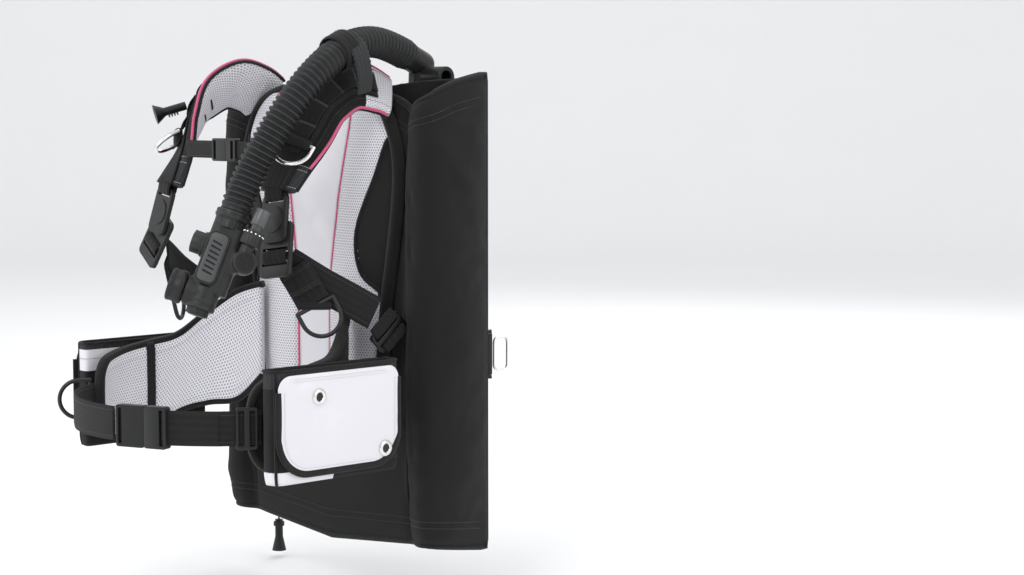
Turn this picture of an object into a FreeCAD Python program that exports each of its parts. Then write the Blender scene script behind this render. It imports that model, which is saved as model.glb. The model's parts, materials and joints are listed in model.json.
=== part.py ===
import FreeCAD, Part
import math
import os
import Sketcher
from FreeCAD import Placement, Rotation, Vector

# Buoyancy compensator vest, in millimetres.
# Frame: origin on the tank's axis at the tank band's mid-height, +X to the wearer's left,
# +Y away from the wearer's back, towards the tank, and +Z up.

SIZES = {
    # tank, tank band and its cam buckle
    "tank_radius": 92,
    "band_width": 50,
    "band_thickness": 3,
    "cradle_gap": 3,
    "cam_length": 46,
    "cam_height": 64,
    "cam_thickness": 6,
    "cam_pin_radius": 2,
    # stack between the tank and the wearer's back
    "plate_thickness": 8,
    "plate_width": 236,
    "plate_height": 380,
    "plate_bottom": -150,
    "bolt_radius": 4,
    "layer_gap": 0.6,
    "wing_core": 8,
    "pad_thickness": 20,
    "pad_bottom": -92,
    "pad_height": 421,
    "pad_half_width": 147,
    # wing
    "wing_half_width": 196,
    "wing_thickness": 16,
    "wing_skin": 1.5,
    "wing_bottom": -208,
    "wing_above_pad": 16,
    # webbing
    "webbing_width": 38,
    "webbing_thickness": 2.5,
    "chest_width": 20,
    # waist loop
    "waist_half_width": 170,
    "waist_half_depth": 152,
    "waist_height": -40,
    "waistband_thickness": 12,
    # pockets
    "pocket_length": 172,
    "pocket_height": 124,
    "pocket_depth": 24,
    "pocket_wall": 2.5,
    "flap_thickness": 4,
    "flap_height": 112,
    "grommet_radius": 8,
    # shoulder straps
    "shoulder_thickness": 12,
    "shoulder_width": 66,
    # rings
    "ring_wire": 2.5,
    # swivel buckles
    "swivel_thickness": 5,
    "swivel_boss_radius": 6,
    "swivel_clearance": 0.06,
    "buckle_rim": 4,
    # inflator and its hose
    "hose_radius": 18,
    "inflator_length": 118,
    "button_radius": 12.5,
    "mouth_radius": 18,
    "mouth_bore": 13,
    "moving_gap": 0.35,
    # pull knobs
    "knob_length": 40,
    "knob_radius": 9,
    "cord_radius": 1.25,
    "pull_travel": 15,
}

document = FreeCAD.newDocument("buoyancy_vest")
sheet = document.addObject("Spreadsheet::Sheet", "Dim")
for row, (alias, value) in enumerate(SIZES.items(), start=1):
    sheet.set("A%d" % row, alias)
    sheet.set("B%d" % row, str(value))
    sheet.setAlias("B%d" % row, alias)
document.recompute()

parts = []


def size(alias):
    """The number that a named cell of the sheet holds."""
    return float(sheet.get(alias))


# ---------------------------------------------------------------- helpers

def keep(item, label):
    """Give a sub-part its own name and list it for export."""
    item.Label = label
    parts.append(item)
    return item


def bind(item, **cells):
    """Bind properties to expressions of the sheet, such as Length='Dim.band_width'."""
    for name, expression in cells.items():
        item.setExpression(name, expression)


def side_name(stem, side):
    return stem + ("_left" if side > 0 else "_right")


def mirrored(point, side):
    """A point or direction of the wearer's left, taken to the given side."""
    return Vector(side * point[0], point[1], point[2])


def unit(vector):
    result = Vector(vector)
    result.normalize()
    return result


def frame(origin, along, outward):
    """Local Y runs along the strap, Z out of its outer face and X across it."""
    along = unit(along)
    outward = unit(outward - along * outward.dot(along))
    across = along.cross(outward)
    return Placement(origin, Rotation(across, along, outward, "ZYX"))


def cylinder(radius, height, base=(0, 0, 0), axis=(0, 0, 1)):
    item = document.addObject("Part::Cylinder", "Cylinder")
    bind(item, Radius=radius, Height=height)
    item.Placement = Placement(Vector(base), Rotation(Vector(0, 0, 1), Vector(axis)))
    return item


def box(length, width, height, base):
    item = document.addObject("Part::Box", "Box")
    bind(item, Length=length, Width=width, Height=height)
    item.Placement = Placement(Vector(base), Rotation())
    return item


def fuse(*shapes):
    item = document.addObject("Part::MultiFuse", "Fuse")
    item.Shapes = list(shapes)
    return item


def cut(base, *tools):
    item = document.addObject("Part::Cut", "Cut")
    item.Base = base
    item.Tool = tools[0] if len(tools) == 1 else fuse(*tools)
    return item


def solid_feature(shape, name="Solid"):
    item = document.addObject("Part::Feature", name)
    item.Shape = shape
    return item


def origin_plane(body, role):
    for feature in body.Origin.OriginFeatures:
        if feature.Role == role:
            return feature
    raise ValueError("the body has no plane " + role)


def body_sketch(body, role="XY_Plane"):
    sketch = body.newObject("Sketcher::SketchObject", "Sketch")
    sketch.AttachmentSupport = [(origin_plane(body, role), "")]
    sketch.MapMode = "FlatFace"
    return sketch


def draw_rectangle(sketch, x, y, across, along):
    """Rectangle with its centre at (x, y), each an expression of the sheet."""
    corners = [Vector(-1, -1, 0), Vector(1, -1, 0), Vector(1, 1, 0), Vector(-1, 1, 0)]
    first = sketch.GeometryCount
    for index in range(4):
        sketch.addGeometry(Part.LineSegment(corners[index], corners[(index + 1) % 4]), False)
    for index in range(4):
        following = first + (index + 1) % 4
        sketch.addConstraint(Sketcher.Constraint("Coincident", first + index, 2, following, 1))
    for index in (0, 2):
        sketch.addConstraint(Sketcher.Constraint("Horizontal", first + index))
        sketch.addConstraint(Sketcher.Constraint("Vertical", first + index + 1))
    places = (
        ("DistanceX", first, 1, first, 2, 2.0, across),
        ("DistanceY", first + 1, 1, first + 1, 2, 2.0, along),
        ("DistanceX", -1, 1, first + 2, 1, 1.0, "(%s) + (%s) / 2" % (x, across)),
        ("DistanceY", -1, 1, first + 2, 1, 1.0, "(%s) + (%s) / 2" % (y, along)),
    )
    for kind, one, one_end, two, two_end, start, expression in places:
        number = sketch.addConstraint(Sketcher.Constraint(kind, one, one_end, two, two_end, start))
        sketch.setExpression("Constraints[%d]" % number, expression)


def draw_circle(sketch, x, y, radius):
    number = sketch.addGeometry(Part.Circle(Vector(1, 1, 0), Vector(0, 0, 1), 1), False)
    for kind, expression in (("DistanceX", x), ("DistanceY", y)):
        row = sketch.addConstraint(Sketcher.Constraint(kind, -1, 1, number, 3, 1.0))
        sketch.setExpression("Constraints[%d]" % row, expression)
    row = sketch.addConstraint(Sketcher.Constraint("Radius", number, 1.0))
    sketch.setExpression("Constraints[%d]" % row, radius)


def plate(across, along, thickness, middle="0", corner=None, slots=(), holes=()):
    """Flat moulded plate: a padded rectangle with slots and round holes cut through it.

    It lies on local z = 0 and rises by its thickness, centred on x = 0 and y = middle.
    """
    body = document.addObject("PartDesign::Body", "Plate")
    sketch = body_sketch(body)
    draw_rectangle(sketch, "0", middle, across, along)
    pad = body.newObject("PartDesign::Pad", "Pad")
    pad.Profile = sketch
    bind(pad, Length=thickness)
    if corner:
        document.recompute()
        fillet = body.newObject("PartDesign::Fillet", "Corners")
        edges = []
        for index, edge in enumerate(pad.Shape.Edges, start=1):
            ends = [vertex.Point for vertex in edge.Vertexes]
            if abs(ends[0].z - ends[-1].z) > 0.5 * pad.Shape.BoundBox.ZLength:
                edges.append("Edge%d" % index)
        fillet.Base = (pad, edges)
        bind(fillet, Radius=corner)
    if slots or holes:
        document.recompute()
        whole = body.Shape.Volume
        openings = body_sketch(body)
        for slot in slots:
            draw_rectangle(openings, *slot)
        for hole in holes:
            draw_circle(openings, *hole)
        pocket = body.newObject("PartDesign::Pocket", "Openings")
        pocket.Profile = openings
        pocket.Type = "ThroughAll"
        pocket.Reversed = True
        document.recompute()
        if body.Shape.Volume >= whole - 1:
            raise ValueError("a pocket cut nothing")
    return body


def loft(sections):
    """Ruled solid through four-cornered sections."""
    wires = []
    for corners in sections:
        wires.append(Part.makePolygon(list(corners) + [corners[0]]))
    solid = Part.makeLoft(wires, True, True)
    if solid.Volume < 0:
        solid.reverse()
    return solid


def tangents(points):
    result = []
    for index in range(len(points)):
        before = points[max(index - 1, 0)]
        after = points[min(index + 1, len(points) - 1)]
        result.append(unit(after - before))
    return result


def strip(points, acrosses, widths, thickness, lift=0.0):
    """Flat strap through points; lift moves it out of its outer face."""
    sections = []
    for point, along, across, width in zip(points, tangents(points), acrosses, widths):
        across = unit(across - along * across.dot(along))
        outward = along.cross(across)
        middle = point + outward * lift
        half = across * (width / 2)
        rise = outward * (thickness / 2)
        sections.append((middle - half - rise, middle + half - rise,
                         middle + half + rise, middle - half + rise))
    return loft(sections)


def wall(plan, lows, highs, thickness):
    """Upright sheet along plan points, with a bottom and a top height at each."""
    sections = []
    for point, along, low, high in zip(plan, tangents(plan), lows, highs):
        outward = Vector(along.y, -along.x, 0) * (thickness / 2)
        inner = point - outward
        outer = point + outward
        sections.append((Vector(inner.x, inner.y, low), Vector(outer.x, outer.y, low),
                         Vector(outer.x, outer.y, high), Vector(inner.x, inner.y, high)))
    return loft(sections)


def mirror_solid(shape, side):
    if side > 0:
        return shape
    return shape.mirror(Vector(0, 0, 0), Vector(1, 0, 0))


def bend_points(points, index, radius):
    """First, middle and last point of the arc that rounds a corner of a route."""
    corner = points[index]
    before = unit(corner - points[index - 1])
    after = unit(points[index + 1] - corner)
    shorter = min((corner - points[index - 1]).Length, (points[index + 1] - corner).Length)
    setback = 0.45 * shorter
    turn = before.getAngle(after)
    bend = setback / math.tan(turn / 2)
    if bend < 6 * radius:
        raise ValueError("a bend is tighter than three diameters")
    bisector = unit(after - before)
    middle = corner + bisector * (bend / math.cos(turn / 2) - bend)
    return corner - before * setback, middle, corner + after * setback


def tube_along(points, radius):
    """Round bar along straight runs joined by tangent arcs, as large as the runs allow."""
    edges = []
    start = points[0]
    for index in range(1, len(points) - 1):
        first, middle, last = bend_points(points, index, radius)
        edges.append(Part.LineSegment(start, first).toShape())
        edges.append(Part.Arc(first, middle, last).toShape())
        start = last
    edges.append(Part.LineSegment(start, points[-1]).toShape())
    path = Part.Wire(edges)
    direction = points[1] - points[0]
    section = Part.Wire([Part.Circle(points[0], direction, radius).toShape()])
    tube = path.makePipeShell([section], True, False)
    expected = math.pi * radius ** 2 * path.Length
    if abs(tube.Volume - expected) > 0.02 * expected:
        raise ValueError("a tube has the wrong volume")
    return tube


def d_ring(half_width, drop):
    """Ring with its straight bar on local X and its bow towards +Y."""
    wire = "Dim.ring_wire"
    bar = cylinder(wire, "2 * (%s)" % half_width, (0, 0, 0), (1, 0, 0))
    bar.setExpression("Placement.Base.x", "-(%s)" % half_width)
    bow = document.addObject("Part::Torus", "Bow")
    bind(bow, Radius1=half_width, Radius2=wire)
    bow.Angle3 = 180
    bow.setExpression("Placement.Base.y", drop)
    legs = []
    knuckles = []
    for end in (-1, 1):
        leg = cylinder(wire, drop, (0, 0, 0), (0, 1, 0))
        leg.setExpression("Placement.Base.x", "%d * (%s)" % (end, half_width))
        knuckle = document.addObject("Part::Sphere", "Knuckle")
        bind(knuckle, Radius=wire)
        knuckle.setExpression("Placement.Base.x", "%d * (%s)" % (end, half_width))
        legs.append(leg)
        knuckles.append(knuckle)
    return fuse(fuse(bow, *legs), fuse(bar, *knuckles))


# ---------------------------------------------------------------- stack of layers, front to back

plate_back = -(size("tank_radius") + 5)
plate_front = plate_back - size("plate_thickness")
core_back = plate_front - size("layer_gap")
core_front = core_back - size("wing_core")
pad_back = core_front - size("layer_gap")
pad_front = pad_back - size("pad_thickness")
pad_top = size("pad_bottom") + size("pad_height")
wing_top = pad_top + size("wing_above_pad")


def make_back_pad():
    # shares of the pad's height and half width, from the bottom corner up to the top
    outline = [(0.0, 0.70), (0.22, 0.78), (0.40, 0.84), (0.53, 0.91), (0.69, 0.985), (0.80, 0.99),
               (0.88, 0.92), (0.935, 0.82), (0.975, 0.65), (1.0, 0.38)]
    left = []
    for height, width in outline:
        x = width * size("pad_half_width")
        left.append(Vector(x, pad_front, size("pad_bottom") + height * size("pad_height")))
    right = [Vector(-point.x, point.y, point.z) for point in reversed(left)]
    curves = []
    for points in (left, right):
        curve = Part.BSplineCurve()
        curve.interpolate(points)
        curves.append(curve.toShape())
    top = Part.LineSegment(left[-1], right[0]).toShape()
    bottom = Part.LineSegment(right[-1], left[0]).toShape()
    face = Part.Face(Part.Wire([curves[0], top, curves[1], bottom]))
    shape = face.extrude(Vector(0, size("pad_thickness"), 0))
    keep(solid_feature(shape), "back_pad")


def make_backplate():
    width = "Dim.plate_width"
    plate_box = box(width, "Dim.plate_thickness", "Dim.plate_height",
                    (-size("plate_width") / 2, plate_front, size("plate_bottom")))
    rib_width = 2 * 52
    rib_depth = 17
    rib = document.addObject("Part::Box", "Rib")
    rib.Length = rib_width
    rib.Width = rib_depth
    bind(rib, Height="Dim.plate_height")
    rib.Placement = Placement(Vector(-rib_width / 2, plate_back, size("plate_bottom")), Rotation())
    tank = document.addObject("Part::Cylinder", "TankSpace")
    bind(tank, Radius="Dim.tank_radius + Dim.cradle_gap", Height="Dim.plate_height + 20")
    tank.Placement = Placement(Vector(0, 0, size("plate_bottom") - 10), Rotation())
    # the band runs in front of the plate in a shallow recess and comes back through two slots
    recess = document.addObject("Part::Box", "BandRecess")
    recess.Length = 2 * band_slot_x + 10
    bind(recess, Width="Dim.band_thickness + 2 * Dim.layer_gap", Height="Dim.band_width + 4")
    recess.Placement = Placement(Vector(-band_slot_x - 5, plate_front, -size("band_width") / 2 - 2),
                                 Rotation())
    slots = []
    for side in (-1, 1):
        slot = document.addObject("Part::Box", "BandSlot")
        slot.Length = 14
        slot.Width = 60
        bind(slot, Height="Dim.band_width + 4")
        slot.Placement = Placement(Vector(side * band_slot_x - 7, plate_front - 1,
                                          -size("band_width") / 2 - 2), Rotation())
        slots.append(slot)
    holes = []
    for x, z in bolt_places:
        hole = document.addObject("Part::Cylinder", "BoltHole")
        bind(hole, Radius="Dim.bolt_radius + Dim.moving_gap", Height="3 * Dim.plate_thickness")
        hole.Placement = Placement(Vector(x, plate_front - 5, z),
                                   Rotation(Vector(0, 0, 1), Vector(0, 1, 0)))
        holes.append(hole)
    whole = fuse(plate_box, rib)
    keep(cut(whole, tank, recess, *slots, *holes), "backplate")


band_slot_x = 61.0
bolt_places = [(-88.0, -120.0), (88.0, -120.0), (-88.0, 190.0), (88.0, 190.0)]


def make_bolts():
    bolts = []
    for x, z in bolt_places:
        head = cylinder("Dim.bolt_radius + 4", "4", (x, plate_back + 0.05, z), (0, 1, 0))
        shank = cylinder("Dim.bolt_radius", "Dim.plate_thickness",
                         (x, plate_front + 0.1, z), (0, 1, 0))
        bolts.append(fuse(head, shank))
    compound = document.addObject("Part::Compound", "Bolts")
    compound.Links = bolts
    keep(compound, "backplate_bolts")


def make_carry_handle():
    plate_top = size("plate_bottom") + size("plate_height")
    y = plate_back - 3
    points = [(-46, -18), (-46, 14), (-34, 40), (-14, 52), (14, 52), (34, 40), (46, 14), (46, -18)]
    path = [Vector(x, y, plate_top + 20 + z) for x, z in points]
    width = 22.0
    sections = []
    for point, along in zip(path, tangents(path)):
        outward = Vector(-along.z, 0, along.x) * (size("webbing_thickness") / 2 + 1.5)
        across = Vector(0, width / 2 - 8, 0)
        sections.append((point - across - outward, point + across - outward,
                         point + across + outward, point - across + outward))
    keep(solid_feature(loft(sections)), "carry_handle")


# ---------------------------------------------------------------- tank band and cam buckle

def make_tank_band():
    radius = size("tank_radius") + size("band_thickness") / 2
    leave = math.radians(-43)
    front = plate_front + size("layer_gap") + size("band_thickness") / 2
    right_end = Vector(radius * math.cos(math.pi - leave), radius * math.sin(math.pi - leave), 0)
    left_end = Vector(radius * math.cos(leave), radius * math.sin(leave), 0)
    arc = Part.Arc(left_end, Vector(0, radius, 0), right_end).toShape()
    left_corner = Vector(band_slot_x - 1, front, 0)
    right_corner = Vector(-band_slot_x + 1, front, 0)
    lines = []
    for start, end in ((right_end, right_corner), (right_corner, left_corner),
                       (left_corner, left_end)):
        lines.append(Part.LineSegment(start, end).toShape())
    middle = Part.Wire([arc] + lines)
    outer = middle.makeOffset2D(size("band_thickness") / 2)
    inner = middle.makeOffset2D(-size("band_thickness") / 2)
    face = Part.Face(outer).cut(Part.Face(inner))
    shape = face.extrude(Vector(0, 0, size("band_width"))).Solids[0]
    shape.translate(Vector(0, 0, -size("band_width") / 2))
    keep(solid_feature(shape), "tank_band")


def cam_frame():
    """Local Z out of the tank, Y round the band, X along the tank."""
    angle = math.radians(50)
    outward = Vector(math.cos(angle), math.sin(angle), 0)
    along = Vector(-math.sin(angle), math.cos(angle), 0)
    reach = size("tank_radius") + size("band_thickness") + 0.6
    return frame(outward * reach, along, outward)


def make_cam_buckle():
    rim = "Dim.cam_height"
    window = "Dim.band_width + 2"
    base = plate(rim, "Dim.cam_length", "Dim.cam_thickness", corner="3",
                 slots=(("0", "-13", window, "6"), ("0", "13", window, "6")))
    ears = []
    for end in (-1, 1):
        ear = box("4", "12", "10", (end * 28 - 2, -cam_pin_y - 6, size("cam_thickness") - 1))
        ears.append(ear)
    holes = cylinder("Dim.cam_pin_radius", "70", (-35, -cam_pin_y, cam_pin_z()), (1, 0, 0))
    whole = cut(fuse(base, *ears), holes)
    whole.Placement = cam_frame()
    keep(whole, "cam_buckle")
    pin = cylinder("Dim.cam_pin_radius", "60", (-30, -cam_pin_y, cam_pin_z()), (1, 0, 0))
    pin.Placement = cam_frame().multiply(pin.Placement)
    keep(pin, "cam_pin")
    lever_length = "Dim.cam_length - 8"
    lever = plate("50", lever_length, "3.5", middle="0", corner="5")
    lever.Placement = Placement(Vector(0, 4, size("cam_thickness") + 1.2), Rotation())
    barrel = cylinder("Dim.cam_pin_radius + 2.4", "50", (-25, -cam_pin_y, cam_pin_z()), (1, 0, 0))
    bore = cylinder("Dim.cam_pin_radius + Dim.swivel_clearance", "52",
                    (-26, -cam_pin_y, cam_pin_z()), (1, 0, 0))
    arm = cut(fuse(lever, barrel), bore)
    arm.Placement = cam_frame()
    keep(arm, "cam_lever")


cam_pin_y = 16.0


def cam_pin_z():
    return size("cam_thickness") + 5.5


# ---------------------------------------------------------------- wing

def wing_plan():
    """Half of the wing's plan, from the middle out to the swept-back rear edge."""
    core = (core_front + core_back) / 2
    half = size("wing_half_width")
    return [Vector(0, core, 0), Vector(half - 72, core, 0), Vector(half - 46, core + 1.5, 0),
            Vector(half - 28, core - 8, 0), Vector(half - 11, core - 5, 0),
            Vector(half - 2, core + 26, 0), Vector(half - 1, core + 70, 0)]


def wing_shape(thickness_cut, height_cut):
    half_plan = wing_plan()
    low = size("wing_bottom") + height_cut
    lows = [low - 6, low + 6, low + 8, low + 9, low + 9, low + 5, low - 1]
    top = wing_top - height_cut
    highs = [top, top - 30, top - 44, top - 36, top - 27, top - 12, top - 2]
    thick = [size("wing_core"), size("wing_core"), size("wing_core") - 1,
             size("wing_thickness") - 4, size("wing_thickness"), size("wing_thickness"),
             size("wing_thickness") - 6]
    halves = []
    for side in (1, -1):
        plan = [Vector(side * point.x, point.y, 0) for point in half_plan]
        directions = tangents(plan)
        directions[0] = Vector(side, 0, 0)
        sections = []
        for point, along, bottom, high, depth in zip(plan, directions, lows, highs, thick):
            outward = Vector(along.y, -along.x, 0) * (side * (depth / 2 - thickness_cut))
            inner = point - outward
            outer = point + outward
            sections.append((Vector(inner.x, inner.y, bottom), Vector(outer.x, outer.y, bottom),
                             Vector(outer.x, outer.y, high), Vector(inner.x, inner.y, high)))
        if height_cut:
            last = sections[-1]
            shift = (half_plan[-1] - half_plan[-2]) * 0.08
            shift = Vector(side * shift.x, shift.y, 0)
            sections[-1] = tuple(corner - shift for corner in last)
        halves.append(loft(sections))
    return halves[0].fuse(halves[1]).removeSplitter()


def make_wing():
    skin = size("wing_skin")
    outer = wing_shape(0.0, 0.0)
    hollow = wing_shape(skin, 6.0)
    shell = outer.cut(hollow)
    cell = wing_shape(skin + 0.3, 7.0)
    # rear panels behind the shoulders carry the inflator elbow
    panels = []
    for side in (1, -1):
        back = core_back
        plan = [Vector(70, back + 12, 0), Vector(142, back + 16, 0),
                Vector(170, back + 34, 0), Vector(size("wing_half_width") - 10, back + 62, 0)]
        lows = [rear_panel_low, rear_panel_low, rear_panel_low - 10, rear_panel_low - 20]
        highs = [wing_top - 18, wing_top - 10, wing_top - 8, wing_top - 4]
        panels.append(mirror_solid(wall(plan, lows, highs, rear_panel_thickness), side))
    for panel in panels:
        panel_only = panel.cut(outer)
        shell = shell.fuse(panel_only)
    shell = shell.removeSplitter()
    keep(solid_feature(shell), "wing_shell")
    keep(solid_feature(cell), "air_cell")


rear_panel_low = 250.0
rear_panel_thickness = 8.0


# ---------------------------------------------------------------- waist

def waist_centre_y():
    return pad_front - size("waist_half_depth") + 4


def waist_point(angle, inset=0.0):
    """Point of the belt's oval: 0 degrees at the wearer's left, -90 in front."""
    turn = math.radians(angle)
    return Vector((size("waist_half_width") - inset) * math.cos(turn),
                  waist_centre_y() + (size("waist_half_depth") - inset) * math.sin(turn), 0)


def make_waistbands():
    # angle on the belt's oval, top and bottom above the belt's mid-height
    stations = [(62, 130, 20), (50, 120, -10), (36, 95, -15), (22, 68, -24), (8, 60, -46),
                (-6, 54, -50), (-17, 47, -46), (-24, 38, -36)]
    inset = size("webbing_thickness") / 2 + 0.6 + size("waistband_thickness") / 2
    plan = [waist_point(angle, inset) for angle, _, _ in stations]
    highs = [size("waist_height") + high for _, high, _ in stations]
    lows = [size("waist_height") + low for _, _, low in stations]
    for side in (1, -1):
        shape = wall(plan, lows, highs, size("waistband_thickness"))
        keep(solid_feature(mirror_solid(shape, side)), side_name("waistband", side))


def belt_strip(start, end, steps):
    angles = [start + (end - start) * step / steps for step in range(steps + 1)]
    plan = [waist_point(angle) for angle in angles]
    half = size("webbing_width") / 2
    low = [size("waist_height") - half] * len(plan)
    high = [size("waist_height") + half] * len(plan)
    return wall(plan, low, high, size("webbing_thickness"))


belt_socket_angle = -78.0
belt_clip_angle = -54.0
buckle_length = 36.0
buckle_gap = 0.4


def belt_buckle_frame():
    """Local Y points from the socket to the clip, Z out of the belt."""
    middle = (belt_socket_angle + belt_clip_angle) / 2
    ends = [waist_point(middle - 3), waist_point(middle + 3)]
    along = unit(ends[1] - ends[0])
    outward = Vector(along.y, -along.x, 0)
    origin = waist_point(middle)
    origin.z = size("waist_height")
    return frame(origin, along, outward)


def side_release_buckle(width, length, thickness, rim):
    """Socket on -Y and clip on +Y of the joint plane, both hollow where the webbing passes."""
    across = "Dim.%s + 2 * %s" % (width, rim)
    socket = plate(across, str(length), str(thickness), middle=str(-length / 2 - buckle_gap / 2),
                   corner="3", slots=(("0", str(-length + 5), "Dim.%s + 1" % width, "5"),))
    chamber_width = "Dim.%s - 4" % width
    chamber = document.addObject("Part::Box", "Chamber")
    chamber.setExpression("Length", chamber_width)
    chamber.Width = length - 12
    chamber.Height = thickness - 3.2
    chamber.setExpression("Placement.Base.x", "-(%s) / 2" % chamber_width)
    chamber.Placement.Base.y = -length + 12 - buckle_gap / 2
    chamber.Placement.Base.z = 1.6
    hollow = cut(socket, chamber)
    clip = plate(across, str(length - 8), str(thickness), middle=str((length - 8) / 2 + buckle_gap / 2),
                 corner="3", slots=(("0", str(length - 14), "Dim.%s + 1" % width, "5"),))
    prongs = []
    for place, prong_width in ((-1, 5.0), (0, 3.0), (1, 5.0)):
        prong = document.addObject("Part::Box", "Prong")
        prong.Length = prong_width
        prong.Width = length - 16
        prong.Height = thickness - 4.4
        prong.setExpression("Placement.Base.x", "%d * (Dim.%s / 2 - 5.2) - %s"
                            % (place, width, prong_width / 2))
        prong.Placement.Base.y = -length + 17
        prong.Placement.Base.z = 2.2
        prongs.append(prong)
    return hollow, fuse(clip, *prongs)


def make_belt():
    half_thickness = 5.0
    socket, clip = side_release_buckle("webbing_width", buckle_length, 2 * half_thickness, "4")
    place = belt_buckle_frame()
    lower = Placement(Vector(0, 0, -half_thickness), Rotation())
    for item, label in ((socket, "belt_buckle_socket"), (clip, "belt_buckle_clip")):
        item.Placement = place * lower
        keep(item, label)
    right = belt_strip(belt_socket_angle - 3.2, -180 + 8, 12)
    left = belt_strip(-20, belt_clip_angle + 18.0, 3)
    keep(solid_feature(right), "belt_right")
    keep(solid_feature(left), "belt_left")


def make_belt_slider():
    angle = -26.0
    ends = [waist_point(angle - 2), waist_point(angle + 2)]
    along = unit(ends[0] - ends[1])
    outward = Vector(-along.y, along.x, 0)
    origin = waist_point(angle)
    origin.z = size("waist_height")
    slider = plate("Dim.webbing_width + 2 * Dim.buckle_rim", "24", "3", corner="3",
                   slots=(("0", "-6", "Dim.webbing_width + 1", "6"),
                          ("0", "6", "Dim.webbing_width + 1", "6")))
    offset = Placement(Vector(0, 0, size("webbing_thickness") / 2 + 0.4), Rotation())
    slider.Placement = frame(origin, along, outward) * offset
    keep(slider, "belt_slider")


def waist_ring_frame():
    """Bar upright on the outer face of the belt, bow forward."""
    point = waist_point(-180 + 24)
    ends = [waist_point(-180 + 22), waist_point(-180 + 26)]
    along = unit(ends[1] - ends[0])
    outward = Vector(along.y, -along.x, 0)
    point.z = size("waist_height")
    stand = size("webbing_thickness") / 2 + size("ring_wire") + 1.0
    return frame(point + outward * stand, unit(along + outward * 1.5), outward)


# ---------------------------------------------------------------- pockets

def pocket_inner_x():
    return size("waist_half_width") + size("webbing_thickness") / 2 + 1.5


pocket_rear_y = -172.0


def pocket_top():
    return size("waist_height") + 64


def make_pockets():
    inner = pocket_inner_x()
    front = pocket_rear_y - size("pocket_length")
    bottom = pocket_top() - size("pocket_height")
    wall_size = size("pocket_wall")
    for side in (1, -1):
        low_x = inner if side > 0 else -inner - size("pocket_depth")
        outer = box("Dim.pocket_depth", "Dim.pocket_length", "Dim.pocket_height",
                    (low_x, front, bottom))
        hollow = box("Dim.pocket_depth - 2 * Dim.pocket_wall",
                     "Dim.pocket_length - 2 * Dim.pocket_wall", "Dim.pocket_height",
                     (low_x + wall_size, front + wall_size, bottom + wall_size))
        keep(cut(outer, hollow), side_name("pocket", side))
        make_flap(side, front)


def flap_hinge(side):
    """A point on the flap's hinge line."""
    x = pocket_inner_x() + size("pocket_depth") + size("flap_thickness") / 2 + 0.5
    return Vector(side * x, pocket_rear_y, pocket_top() - 4)


def make_flap(side, front):
    hinge = flap_hinge(side)
    thickness = size("flap_thickness")
    length = size("pocket_length") - 4
    flap = plate("Dim.pocket_length - 4", "Dim.flap_height", "Dim.flap_thickness",
                 middle="-Dim.flap_height / 2", corner="22")
    middle_y = front + 2 + length / 2
    place = Placement(Vector(hinge.x - side * thickness / 2, middle_y, hinge.z),
                      Rotation(Vector(0, side, 0), Vector(0, 0, 1), Vector(side, 0, 0), "ZYX"))
    rings = []
    holes = []
    for share, drop in ((-0.17, 27.0), (0.38, 93.0)):
        along = side * share * length
        body = cylinder("Dim.grommet_radius", "Dim.flap_thickness + 1.6", (along, -drop, -0.3))
        seat = cylinder("Dim.grommet_radius", "12", (along, -drop, -4))
        bore = cylinder("Dim.grommet_radius - 3", "12", (along, -drop, -4))
        holes.append(seat)
        rings.append(cut(body, bore))
    drilled = cut(flap, *holes)
    drilled.Placement = place
    keep(drilled, side_name("pocket_flap", side))
    grommets = document.addObject("Part::Compound", "Grommets")
    grommets.Links = rings
    grommets.Placement = place
    keep(grommets, side_name("grommets", side))


# ---------------------------------------------------------------- shoulder straps

def shoulder_stations():
    """Centre, across direction and share of the width, from the pad's top corner down."""
    x = size("pad_half_width") - 38
    root = pad_front + 16
    return [
        (Vector(x + 10, root, pad_top - 15), Vector(0.60, -0.10, -0.78), 1.0),
        (Vector(x + 5, root - 22, pad_top - 4), Vector(0.57, -0.05, -0.80), 1.0),
        (Vector(x, root - 56, pad_top + 1), Vector(0.54, 0.02, -0.84), 1.0),
        (Vector(x, root - 91, pad_top - 18), Vector(0.56, 0.22, -0.80), 1.0),
        (Vector(x - 2, root - 112, pad_top - 51), Vector(0.72, 0.36, -0.55), 0.97),
        (Vector(x - 6, root - 130, pad_top - 84), Vector(0.90, 0.30, -0.20), 0.92),
        (Vector(x - 4, root - 149, pad_top - 118), Vector(0.98, 0.10, 0.0), 0.82),
    ]


def shoulder_frame(index, side, lift):
    """Frame on the strap's outer face at a station."""
    stations = shoulder_stations()
    points = [station[0] for station in stations]
    along = tangents(points)[index]
    across = stations[index][1]
    across = unit(across - along * across.dot(along))
    outward = along.cross(across)
    origin = points[index] + outward * lift
    return frame(mirrored(origin, side), mirrored(along, side), mirrored(outward, side))


def webbing_lift():
    return size("shoulder_thickness") / 2 + 0.3 + size("webbing_thickness") / 2


def make_shoulders():
    stations = shoulder_stations()
    points = [station[0] for station in stations]
    acrosses = [station[1] for station in stations]
    widths = [station[2] * size("shoulder_width") for station in stations]
    for side in (1, -1):
        pad = strip(points, acrosses, widths, size("shoulder_thickness"))
        keep(solid_feature(mirror_solid(pad, side)), side_name("shoulder_pad", side))
        narrow = [size("webbing_width")] * (len(points) - 1)
        webbing = strip(points[1:], acrosses[1:], narrow, size("webbing_thickness"), webbing_lift())
        keep(solid_feature(mirror_solid(webbing, side)), side_name("shoulder_webbing", side))


def ring_half():
    return "Dim.webbing_width / 2 + Dim.ring_wire + 0.8"


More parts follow.
